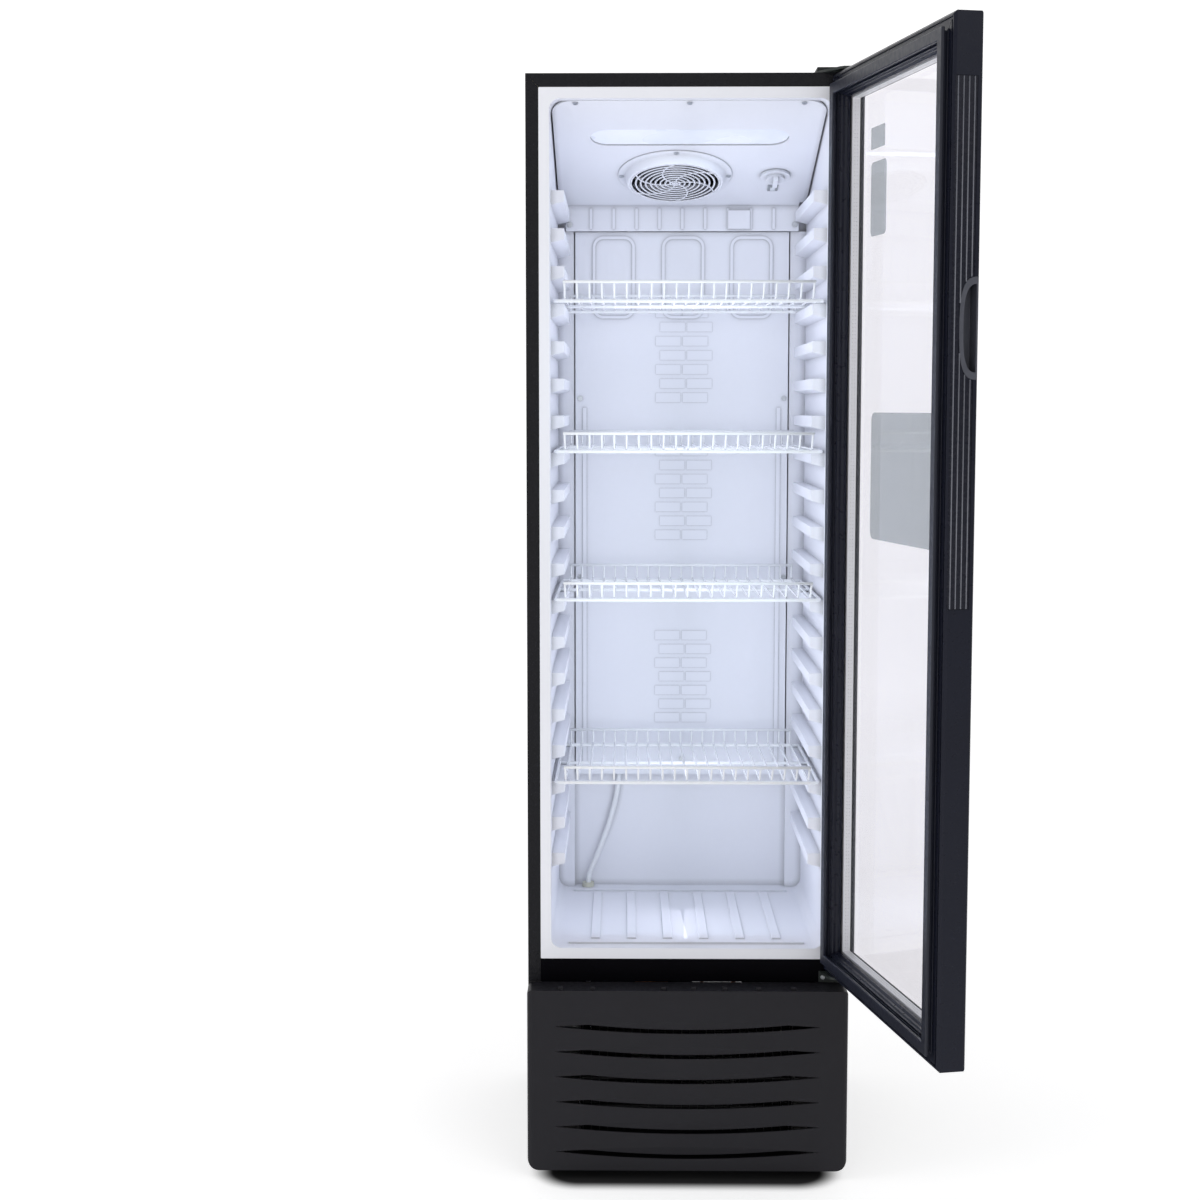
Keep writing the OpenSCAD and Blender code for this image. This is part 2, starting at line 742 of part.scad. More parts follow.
// A rectangular ring in the door's plane, between two insets and two depths.
module door_ring(outer, inner, depth_from, depth_to) {
    difference() {
        block([door_left + outer, door_front + depth_from, door_bottom + outer],
              [door_edge - outer, door_front + depth_to, door_top - outer]);
        block([door_left + inner, door_front + depth_from - 1, door_bottom + inner],
              [door_edge - inner, door_front + depth_to + 1, door_top - inner]);
    }
}

module pane(depth_from) {
    on_door() block([door_left + glass_edge, door_front + depth_from, door_bottom + glass_edge],
                    [door_edge - glass_edge, door_front + depth_from + glass_t, door_top - glass_edge]);
}

module outer_glass() {
    color([0.85, 0.95, 0.95, 0.25]) pane(pocket_front + gap);
}

module inner_glass() {
    color([0.85, 0.95, 0.95, 0.25]) pane(pocket_back - gap - glass_t);
}

module glass_spacer() {
    color("#c8ccd2") on_door()
        door_ring(glass_edge + 4, frame_band + 1.5, pocket_front + glass_t + 2 * gap,
                  pocket_back - glass_t - 2 * gap);
}

module door_gasket() {
    color("#202228") on_door() {
        door_ring(25, 28, door_t - 4.2, door_t + 1);
        door_ring(21, 34, door_t + gap, door_t + 2);
        door_ring(23.5, 31.5, door_t + 1.9, door_t + 6);
        door_ring(19, 36, door_t + 5.9, door_t + 11.4);
    }
}

strip_low = 1010;
strip_high = 1738;
strip_front = 7;
strip_rear = 39;
cup_r = 21.5;
cup_wall = 2;
cup_skin = 1.2;
cup_depth = 24;
cup_len = 121;
cup_rim_r = 28;
cup_rim_len = 141;

// Half of a long rounded outline, cut off straight at a distance from the door's front face.
module cup_outline(reach, length, cut) {
    steps = 72;
    function soft(v) = sign(v) * pow(abs(v), 2 / 3);
    intersection() {
        polygon([for (i = [0 : steps - 1])
            [reach * soft(cos(i * 360 / steps)), length / 2 * soft(sin(i * 360 / steps))]]);
        translate([cut, -length]) square([2 * reach, 2 * length]);
    }
}

// Puts a shape on the latch edge at the handle: +Z goes into the door, +Y is up.
module on_handle(start) {
    translate([door_left + start, door_front, handle_z]) rotate([90, 0, 90]) children();
}

module edge_strip() {
    rib_count = 4;
    rib_pitch = 8;
    rib_half = 1;
    color("#2b2e38") on_door() difference() {
        union() {
            block([door_left + 1.2, door_front + strip_front, strip_low],
                  [door_left + 2.9, door_front + strip_rear, strip_high]);
            for (i = [0 : rib_count - 1])
                translate([0, door_front + 11 + i * rib_pitch, 0])
                    block([door_left, -rib_half, strip_low], [door_left + 1.3, rib_half, strip_high]);
        }
        on_handle(-1) linear_extrude(10) cup_outline(cup_rim_r + 0.1, cup_rim_len + 0.2, 0);
    }
}

module handle_cup() {
    front = cup_skin + gap;
    color("#343741") on_door() on_handle(0) difference() {
        union() {
            linear_extrude(2) cup_outline(cup_rim_r, cup_rim_len, front);
            linear_extrude(cup_depth + cup_wall)
                cup_outline(cup_r + cup_wall, cup_len + 2 * cup_wall, front);
        }
        translate([0, 0, -1]) linear_extrude(cup_depth + 1) cup_outline(cup_r, cup_len, front + cup_wall);
    }
}

// Three blank labels on the outside of the outer pane.
module glass_labels() {
    label_y = door_front + pocket_front + gap;
    // Each label: distance of its near edge from the hinge line, width, lowest height, height.
    labels = [[68, 65, 1693, 34], [70, 72, 1558, 115], [86, 305, 1082, 200]];
    color("#b9c2c2") on_door() for (l = labels)
        translate([hinge_x - l[0] - l[1] / 2, 0, l[2] + l[3] / 2]) through_y(label_y - 0.3, label_y - 0.05)
            round_rect(l[1], l[3], min(14, l[3] * 0.08));
}

module hinge_bushes() {
    color("#e4e2d6") on_door() {
        bush(door_top - bush_len + 0.1, door_top);
        bush(door_bottom, door_bottom + bush_len - 0.1);
    }
}

module bush(low, high) {
    translate([hinge_x, hinge_y, low]) difference() {
        cylinder(r = bush_r, h = high - low, $fn = 32);
        translate([0, 0, -1]) cylinder(r = hinge_pin_r + running_gap, h = high - low + 2, $fn = 32);
    }
}

// ---------- Hinges and screws on the cabinet ----------

hinge_plate_low = cabinet_h + gap;
hinge_plate_t = 4;
top_hinge_screws = [[222, 30], [252, 30], [222, 62], [252, 62]];
bottom_screw_x = [hinge_x - 18, hinge_x - 4];
bottom_screw_z = 335;

module top_hinge() {
    color("#3a403c") {
        difference() {
            translate([0, 0, hinge_plate_low]) linear_extrude(hinge_plate_t) polygon([
                [202, 16], [238, -36], [244, -40], [258, -40], [264, -34], [264, 76], [202, 76]
            ]);
            for (p = top_hinge_screws)
                translate([p.x, p.y, cabinet_h - 1]) cylinder(r = 3.1, h = 10, $fn = 24);
        }
        translate([hinge_x, hinge_y, door_top - bush_len + 1.5])
            cylinder(r = hinge_pin_r, h = hinge_plate_low - door_top + bush_len - 1, $fn = 32);
    }
}

module top_hinge_cover() {
    low = hinge_plate_low + hinge_plate_t + gap;
    color("#2a2e2c") difference() {
        block([206, 20, low], [264, 75, low + 8]);
        block([208, 22, low - 1], [262, 73, low + 6]);
    }
}

module bottom_hinge() {
    plate_top = door_bottom - 4;
    color("#2c2f33") difference() {
        union() {
            block([222, -3, 327], [264, -gap, plate_top]);
            translate([0, 0, plate_top - 4]) linear_extrude(4) polygon([
                [222, -gap], [236, -36], [242, -40], [256, -40], [264, -32], [264, -gap]
            ]);
            translate([hinge_x, hinge_y, plate_top - 1])
                cylinder(r = hinge_pin_r, h = door_bottom + bush_len - 1.5 - plate_top, $fn = 32);
        }
        for (x = bottom_screw_x)
            translate([x, -5, bottom_screw_z]) rotate([-90, 0, 0]) cylinder(r = 2.2, h = 8, $fn = 24);
    }
}

module body_screws() {
    color("#b0b4ba") {
        for (p = top_hinge_screws) translate([p.x, p.y, hinge_plate_low + hinge_plate_t + 0.05])
            screw(5, 2.4, 2.9, 4);
        for (x = bottom_screw_x) translate([x, -3.05, bottom_screw_z]) rotate([90, 0, 0])
            screw(3.6, 1.6, 1.9, 6);
        for (x = [-230, 0, 230], z = [348, 1816])
            translate([x, cabinet_d + 0.05, z]) rotate([-90, 0, 0]) screw(4, 2, 1.8, 0);
    }
}

// ---------- Base ----------

louvre_half = 222;
louvre_first = 264;
louvre_pitch = 42.9;
base_t = 2.5;
base_h = base_top - base_bottom;
base_low_corner = 20;
base_top_corner = 8;

// Heights of a louvre's edges over the line through its ends; u runs from -1 to 1 along it.
function louvre_top(u) = 8 * (1 - u * u);
function louvre_bottom(u) = -12 * (1 - u * u);
function blade_bottom(u) = min(louvre_top(u), -6 + 16 * u * u);

louvre_steps = [for (i = [-24 : 24]) i / 24];

// The opening of one louvre, pointed at both ends.
module louvre_opening() {
    polygon(concat(
        [for (u = louvre_steps) [u * louvre_half, louvre_top(u)]],
        [for (u = louvre_steps) [-u * louvre_half, louvre_bottom(u)]]
    ));
}

// The part of the opening that the blade fills: all of it but the slot along the bottom.
module blade_outline() {
    span = [for (u = louvre_steps) if (blade_bottom(u) < louvre_top(u) - 0.05) u];
    polygon(concat(
        [for (u = span) [u * louvre_half, louvre_top(u) + 1]],
        [for (u = span) [-u * louvre_half, blade_bottom(u)]]
    ));
}

module base_cover() {
    color("#2a292e") {
        difference() {
            intersection() {
                translate([0, 0, base_bottom]) linear_extrude(base_h) base_plan(0);
                translate([0, 0, base_bottom]) through_y(-base_front - 5, 5) base_face(0);
            }
            intersection() {
                translate([0, 0, base_bottom - 1]) linear_extrude(base_h + 1) base_plan(base_t);
                translate([0, 0, base_bottom]) through_y(-base_front - 5, 5) {
                    base_face(base_t);
                    translate([base_low_corner - half_w, -2])
                        square([cabinet_w - 2 * base_low_corner, base_low_corner]);
                }
            }
            for (i = [0 : louvre_count - 1]) translate([0, 0, louvre_first - i * louvre_pitch])
                through_y(-base_front - 5, -base_front + 10) louvre_opening();
        }
        for (i = [0 : louvre_count - 1]) louvre_blade(louvre_first - i * louvre_pitch);
        for (x = [-212, -158, -40, 10, 62, 118, 176])
            block([x - 4, -base_front + 6, base_top - 1], [x + 4, -base_front + 12, base_top + 5]);
    }
}

// Front outline of the base cover, drawn in by a wall thickness; the lower corners are the rounder ones.
module base_face(inset) {
    translate([0, base_h / 2])
        round_rect(cabinet_w - 2 * inset, base_h - 2 * inset, base_low_corner - inset);
    translate([0, (base_h + base_low_corner) / 2])
        round_rect(cabinet_w - 2 * inset, base_h - base_low_corner - 2 * inset, base_top_corner - inset);
}

// Plan outline of the base cover, drawn in by a wall thickness.
module base_plan(inset) {
    corner = 10;
    difference() {
        translate([0, -base_front / 2 + corner])
            round_rect(cabinet_w - 2 * inset, base_front + 2 * corner - 2 * inset, corner - inset);
        translate([-cabinet_w, -gap + (inset > 0 ? 5 : 0)]) square([2 * cabinet_w, 60]);
    }
}

// The blade of a louvre, which leans in towards its lower edge.
module louvre_blade(z) {
    lean = 14;
    intersection() {
        translate([0, 0, z]) through_y(-base_front - 5, -base_front + 30) blade_outline();
        translate([-louvre_half, -base_front, z + 9]) rotate([lean, 0, 0]) translate([0, 0, -40])
            cube([2 * louvre_half, base_t, 45]);
    }
}

module base_pan() {
    end = half_w - sheet - gap;
    color("#232326") difference() {
        union() {
            block([-end, 2, pan_z], [end, cabinet_d - 6, pan_z + 2]);
            block([-end, 2, pan_z], [end, 4, pan_z + 16]);
            block([-end, cabinet_d - 8, pan_z], [end, cabinet_d - 6, pan_z + 16]);
            for (side = [-1, 1]) {
                translate([side * foot_x, foot_y, pan_z - 6]) cylinder(r = 10, h = 18, $fn = 6);
                roller_bracket(side * roller_x);
            }
        }
        for (side = [-1, 1]) translate([side * foot_x, foot_y, 0])
            cylinder(r = foot_stud_r + running_gap, h = 60, $fn = 32);
    }
}

foot_stud_r = 5;

// Two ears under the pan with the fixed axle of a roller between them.
module roller_bracket(x) {
    for (side = [-1, 1])
        translate([x + side * 12, roller_y, 0]) through_x(-1, 1) {
            translate([-9, roller_r - 4]) square([18, pan_z - roller_r + 4.5]);
            translate([0, roller_r - 4]) circle(r = 9, $fn = 32);
        }
    translate([x - 14, roller_y, roller_r]) rotate([0, 90, 0]) cylinder(r = shaft_r, h = 28, $fn = 24);
}

module roller(side) {
    color("#2b2b2e") translate([side * roller_x - 9, roller_y, roller_r]) rotate([0, 90, 0]) difference() {
        cylinder(r = roller_r, h = 18, $fn = 48);
        translate([0, 0, -1]) cylinder(r = shaft_r + running_gap, h = 20, $fn = 24);
    }
}

module foot(side) {
    color("#2f2f33") translate([side * foot_x, foot_y, 0]) {
        cylinder(r = 18, h = 6, $fn = 48);
        translate([0, 0, 5.9]) cylinder(r = 11, h = 10, $fn = 6);
        cylinder(r = foot_stud_r, h = 58, $fn = 32);
    }
}

compressor_x = 70;
compressor_y = 370;
compressor_low = 58;
compressor_h = 152;
compressor_top = compressor_low + compressor_h;
mount_spots = [for (x = [-82, 82], y = [-62, 62]) [compressor_x + x, compressor_y + y]];

module compressor() {
    color("#1d1e20") {
        translate([compressor_x, compressor_y, compressor_low]) rotate_extrude($fn = 64) polygon(concat(
            [[0, 0]],
            [for (a = [-90 : 15 : 0]) [50 + 28 * cos(a), 28 + 28 * sin(a)]],
            [for (a = [0 : 15 : 90]) [44 + 34 * cos(a), compressor_h - 34 + 34 * sin(a)]],
            [[0, compressor_h]]
        ));
        difference() {
            block([compressor_x - 96, compressor_y - 76, compressor_low - 4],
                  [compressor_x + 96, compressor_y + 76, compressor_low + 1]);
            for (p = mount_spots) translate([p.x, p.y, 0]) cylinder(r = 9, h = 200, $fn = 24);
        }
    }
}

module compressor_mounts() {
    color("#2a2a2a") for (p = mount_spots) translate([p.x, p.y, pan_z + 2.1]) {
        cylinder(r = 14, h = compressor_low - 4.2 - pan_z - 2.1, $fn = 24);
        cylinder(r = 8.8, h = compressor_low - pan_z + 4, $fn = 24);
    }
}

module relay_box() {
    color("#3c3f45") block([compressor_x - 22, compressor_y - 104, 104],
                           [compressor_x + 22, compressor_y - 79, 156]);
}

module condenser_coil() {
    fins = 26;
    half = 176;
    color("#55585d") {
        for (i = [0 : fins - 1]) translate([-half + i * 2 * half / (fins - 1), 0, 0])
            block([-0.5, 22, 58], [0.5, 66, 262]);
        for (y = [33, 55], i = [0 : 7])
            rod([-half - 5, y, 72 + i * 25], [half + 5, y, 72 + i * 25], 3.5, 16);
        for (side = [-1, 1])
            block([side * (half + 5) - 1, 20, pan_z + 2.1], [side * (half + 5) + 1, 68, 264]);
    }
}

fan_c = [0, 92, 162];
wheel_r = 90;

module condenser_shroud() {
    color("#44484e") difference() {
        union() {
            block([-182, 70, pan_z + 2.1], [182, 72, 264]);
            translate([fan_c.x, 72, fan_c.z]) rotate([-90, 0, 0]) cylinder(r = wheel_r + 6, h = 24, $fn = 96);
        }
        translate([fan_c.x, 60, fan_c.z]) rotate([-90, 0, 0]) cylinder(r = wheel_r + 4, h = 60, $fn = 96);
    }
}

module condenser_fan_motor() {
    color("#2d3035") difference() {
        union() {
            translate([fan_c.x, 102, fan_c.z]) rotate([-90, 0, 0]) cylinder(r = 32, h = 50, $fn = 48);
            for (x = [-1, 1])
                block([fan_c.x + x * 24 - 3, 120, pan_z + 2.1], [fan_c.x + x * 24 + 3, 140, fan_c.z - 10]);
            block([fan_c.x - 40, 116, pan_z + 2.1], [fan_c.x + 40, 144, pan_z + 5]);
        }
        translate([fan_c.x, 96, fan_c.z]) rotate([-90, 0, 0])
            cylinder(r = shaft_r + running_gap, h = 26, $fn = 24);
    }
}

module condenser_fan_blade() {
    color("#2c2e31") translate([fan_c.x, 98, fan_c.z]) rotate([90, 0, 0]) fan_wheel(wheel_r, 24, 5, 22, 20);
}

module evaporation_tray() {
    color("#6d7278") difference() {
        block([-240, 330, pan_z + 2.1], [-60, 490, 92]);
        block([-238, 332, pan_z + 4.1], [-62, 488, 100]);
    }
}

module refrigerant_pipes() {
    line_r = 4;
    color("#b4693a") {
        tube_path([
            [pipe_x, 446.5, pipe_z], [pipe_x, pipe_back, pipe_z], [pipe_x, pipe_back, 240],
            [pipe_x, pipe_back - 30, 232], [compressor_x + 30, compressor_y + 10, 232],
            [compressor_x + 30, compressor_y + 10, compressor_top + gap]
        ], line_r);
        tube_path([
            [compressor_x - 30, compressor_y - 10, compressor_top + gap],
            [compressor_x - 30, compressor_y - 10, 240],
            [-120, 200, 250], [-190, 120, 250], [-190, 78, 240]
        ], 3);
        rod([-32, 288, 244.5], [-80, 240, 247.5], 10);
    }
}

cord_exit = [-30, 250];

module power_cord() {
    cord_r = 3.5;
    coil_r = 56;
    coil_z = 200;
    coil_x = -150;
    plug_y = cabinet_d + 5;
    color("#1c1c1e") {
        tube_path(concat(
            [for (y = [-20, 5]) [cord_exit.x, cabinet_d + y, cord_exit.y]],
            [for (a = [40 : 30 : 580])
                [coil_x + coil_r * cos(a), cabinet_d + 5 + a / 45, coil_z + coil_r * sin(a)]],
            [[coil_x - 10, plug_y + 10, 108]]
        ), cord_r);
        block([coil_x - 22, plug_y + 2, 76], [coil_x + 2, plug_y + 18, 110]);
        for (x = [-16, -4]) block([coil_x + x - 1, plug_y + 7, 60], [coil_x + x + 1, plug_y + 13, 77]);
    }
}

module rear_vent_cover() {
    slot_rows = [for (z = [96 : 20 : 136]) z, for (z = [204 : 20 : 284]) z];
    end = half_w - sheet - gap;
    color("#1b1b1e") difference() {
        block([-end, cabinet_d - 5, 50], [end, cabinet_d - 3.5, foam_bottom - 2]);
        for (z = slot_rows, x = [-1, 1])
            block([x * 115 - 95, cabinet_d - 10, z], [x * 115 + 95, cabinet_d + 5, z + 8]);
        translate([cord_exit.x, cabinet_d - 10, cord_exit.y]) rotate([-90, 0, 0])
            cylinder(r = 4.5, h = 20, $fn = 24);
    }
}

placed() side_panel(-1);  // left_side_panel
placed() side_panel(1);  // right_side_panel
placed() top_panel();
placed() back_panel();
placed() cross_rail();
placed() foam_insulation();
placed() liner();
placed() duct_panel();
placed() evaporator_cover();
placed() liner_screws();
placed() fan_grille();
placed() evaporator_fan_blade();
placed() evaporator_fan_motor();
placed() evaporator_coil();
placed() drain_tray();
placed() drain_hose();
placed() drain_grommet();
placed() lamp_lens();
placed() lamp_board();
placed() thermostat_knob();
placed() thermostat_body();
placed() light_switch_rocker();
placed() light_switch_frame();
placed() shelf(shelf_1_ledge);  // shelf_1
placed() shelf(shelf_2_ledge);  // shelf_2
placed() shelf(shelf_3_ledge);  // shelf_3
placed() shelf(shelf_4_ledge);  // shelf_4
placed() door_hinge_stile();
placed() door_latch_stile();
placed() door_top_rail();
placed() door_bottom_rail();
placed() outer_glass();
placed() inner_glass();
placed() glass_spacer();
placed() door_gasket();
placed() edge_strip();
placed() handle_cup();
placed() glass_labels();
placed() hinge_bushes();
placed() top_hinge();
placed() top_hinge_cover();
placed() bottom_hinge();
placed() body_screws();
placed() base_cover();
placed() base_pan();
placed() compressor();
placed() compressor_mounts();
placed() relay_box();
placed() condenser_coil();
placed() condenser_shroud();
placed() condenser_fan_motor();
placed() condenser_fan_blade();
placed() evaporation_tray();
placed() refrigerant_pipes();
placed() power_cord();
placed() rear_vent_cover();
placed() foot(-1);  // left_foot
placed() foot(1);  // right_foot
placed() roller(-1);  // left_roller
placed() roller(1);  // right_roller
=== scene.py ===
import json
import math

import bpy
from mathutils import Matrix, Vector


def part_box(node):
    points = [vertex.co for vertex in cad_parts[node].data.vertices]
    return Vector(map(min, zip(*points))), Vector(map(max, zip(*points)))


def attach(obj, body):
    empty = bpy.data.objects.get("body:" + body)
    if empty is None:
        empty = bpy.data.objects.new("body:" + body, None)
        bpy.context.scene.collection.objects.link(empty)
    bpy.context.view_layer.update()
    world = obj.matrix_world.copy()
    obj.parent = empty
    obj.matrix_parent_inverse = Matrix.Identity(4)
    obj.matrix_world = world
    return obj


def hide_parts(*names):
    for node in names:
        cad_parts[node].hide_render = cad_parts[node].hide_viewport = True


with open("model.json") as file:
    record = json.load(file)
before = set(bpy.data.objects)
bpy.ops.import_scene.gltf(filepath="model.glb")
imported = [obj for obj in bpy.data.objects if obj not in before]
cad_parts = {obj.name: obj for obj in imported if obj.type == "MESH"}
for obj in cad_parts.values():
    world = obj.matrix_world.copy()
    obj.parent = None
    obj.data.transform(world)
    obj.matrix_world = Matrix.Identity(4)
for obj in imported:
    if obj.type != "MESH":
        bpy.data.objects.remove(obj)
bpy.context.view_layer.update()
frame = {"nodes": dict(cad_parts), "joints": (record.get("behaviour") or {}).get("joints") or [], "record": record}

NODES = frame["nodes"]
JOINTS = {j["name"]: j for j in frame["joints"]}
MM = 0.001
TAU = 2 * math.pi


# ---------- Places taken from the frame ----------

def mid(low, high):
    return (low + high) / 2


def middle_of(node):
    low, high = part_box(node)
    return (low + high) / 2


# The point on the floor under the middle of the cabinet's front face.
FRONT = Vector((middle_of("back_panel").x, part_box("left_side_panel")[0].y, 0))
CABINET_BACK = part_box("back_panel")[1].y

# The door is drawn closed and turned about its hinge line to its angle at rest.
HINGE = Vector(JOINTS["door_hinge"]["pos_m"])
HINGE.z = 0
DOOR_ANGLE = math.radians(-JOINTS["door_hinge"]["range_deg"][0])
DOOR = (Matrix.Translation(HINGE) @ Matrix.Rotation(DOOR_ANGLE, 4, "Z") @ Matrix.Translation(-HINGE))

# The ceiling cover's own frame: z out of its visible face, y towards the front, at the fan's middle.
FAN_AXIS = Vector(JOINTS["evaporator_fan_spin"]["axis"]).normalized()
FAN_POS = Vector(JOINTS["evaporator_fan_spin"]["pos_m"])
COVER_X = Vector((1, 0, 0))
COVER_TURN = Matrix((COVER_X, FAN_AXIS.cross(COVER_X), FAN_AXIS)).transposed()
COVER = Matrix.Translation(FAN_POS) @ COVER_TURN.to_4x4()


# ---------- Meshes ----------

def build(name, parts, material, body, hides=(), smooth=True):
    """Joins (vertices, faces) parts into one mesh object that rides on a body."""
    verts = []
    faces = []
    for part_verts, part_faces in parts:
        base = len(verts)
        verts += [tuple(v) for v in part_verts]
        faces += [[base + i for i in face] for face in part_faces]
    mesh = bpy.data.meshes.new(name)
    mesh.from_pydata(verts, [], faces)
    mesh.validate()
    mesh.update()
    for face in mesh.polygons:
        face.use_smooth = smooth
    obj = bpy.data.objects.new(name, mesh)
    bpy.context.scene.collection.objects.link(obj)
    mesh.materials.append(material)
    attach(obj, body)
    if hides:
        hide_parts(*hides)
    return obj


def moved(part, matrix):
    verts, faces = part
    return [matrix @ Vector(v) for v in verts], faces


def rounded_path(points, bend, steps=5, closed=False):
    """A chain of points with each corner replaced by a short curve."""
    points = [Vector(p) for p in points]
    count = len(points)
    result = []
    for i, corner in enumerate(points):
        if not closed and i in (0, count - 1):
            result.append(corner)
            continue
        before = points[i - 1] - corner
        after = points[(i + 1) % count] - corner
        reach = min(bend, before.length * 0.45, after.length * 0.45)
        start = corner + before.normalized() * reach
        end = corner + after.normalized() * reach
        for k in range(steps + 1):
            t = k / steps
            result.append(start * (1 - t) ** 2 + corner * 2 * t * (1 - t) + end * t ** 2)
    return result


def tube(points, radius, sides=10, closed=False):
    """A round tube along a chain of points, with domed ends unless it is a ring."""
    points = [Vector(p) for p in points]
    count = len(points)
    verts = []
    faces = []
    side = None
    for i, point in enumerate(points):
        ahead = points[(i + 1) % count] if closed or i < count - 1 else point
        behind = points[i - 1] if closed or i > 0 else point
        along = (ahead - behind).normalized()
        if side is None:
            side = along.orthogonal().normalized()
        else:
            side = (side - along * side.dot(along)).normalized()
        other = along.cross(side)
        for k in range(sides):
            turn = TAU * k / sides
            verts.append(point + (side * math.cos(turn) + other * math.sin(turn)) * radius)
    rings = count if closed else count - 1
    for i in range(rings):
        low = i * sides
        high = ((i + 1) % count) * sides
        for k in range(sides):
            nxt = (k + 1) % sides
            faces.append([low + k, low + nxt, high + nxt, high + k])
    if not closed:
        last = (count - 1) * sides
        start_tip = len(verts)
        verts.append(points[0] + (points[0] - points[1]).normalized() * radius * 0.35)
        verts.append(points[-1] + (points[-1] - points[-2]).normalized() * radius * 0.35)
        for k in range(sides):
            nxt = (k + 1) % sides
            faces.append([nxt, k, start_tip])
            faces.append([last + k, last + nxt, start_tip + 1])
    return verts, faces


def revolve(outline, sides=96):
    """A closed outline of (radius, height) points turned round the z axis."""
    verts = []
    faces = []
    count = len(outline)
    for k in range(sides):
        turn = TAU * k / sides
        for radius, height in outline:
            verts.append((radius * math.cos(turn), radius * math.sin(turn), height))
    for k in range(sides):
        low = k * count
        high = ((k + 1) % sides) * count
        for i in range(count):
            nxt = (i + 1) % count
            faces.append([low + i, high + i, high + nxt, low + nxt])
    return verts, faces


def loft(rings):
    """A closed skin over a row of rings that all have the same number of points."""
    verts = []
    faces = []
    count = len(rings[0])
    for ring in rings:
        verts += [Vector(p) for p in ring]
    for r in range(len(rings) - 1):
        for i in range(count):
            nxt = (i + 1) % count
            faces.append([r * count + i, r * count + nxt, (r + 1) * count + nxt, (r + 1) * count + i])
    faces.append(list(range(count))[::-1])
    faces.append([(len(rings) - 1) * count + i for i in range(count)])
    return verts, faces


def door_loop(outline, left, right, bottom, top, front):
    """An outline of (inset, depth) points carried round the door with mitred corners."""
    verts = []
    faces = []
    count = len(outline)
    for sx, sz in ((0, 0), (1, 0), (1, 1), (0, 1)):
        for inset, depth in outline:
            x = right - inset if sx else left + inset
            z = top - inset if sz else bottom + inset
            verts.append(DOOR @ Vector((x, front + depth, z)))
    for c in range(4):
        low = c * count
        high = ((c + 1) % 4) * count
        for i in range(count):
            nxt = (i + 1) % count
            faces.append([low + i, low + nxt, high + nxt, high + i])
    return verts, faces


# ---------- Materials ----------

# Noise scales are in features per metre and depths in metres.
LEATHER_CELLS = 330.0
LEATHER_WAVES = 120.0
LEATHER_DEPTH = 0.0009
# How far the painted shade in grooves and inside corners reaches, in metres.
CREASE_SHADE_REACH = 0.012
LAMP_GLOW = 0.12


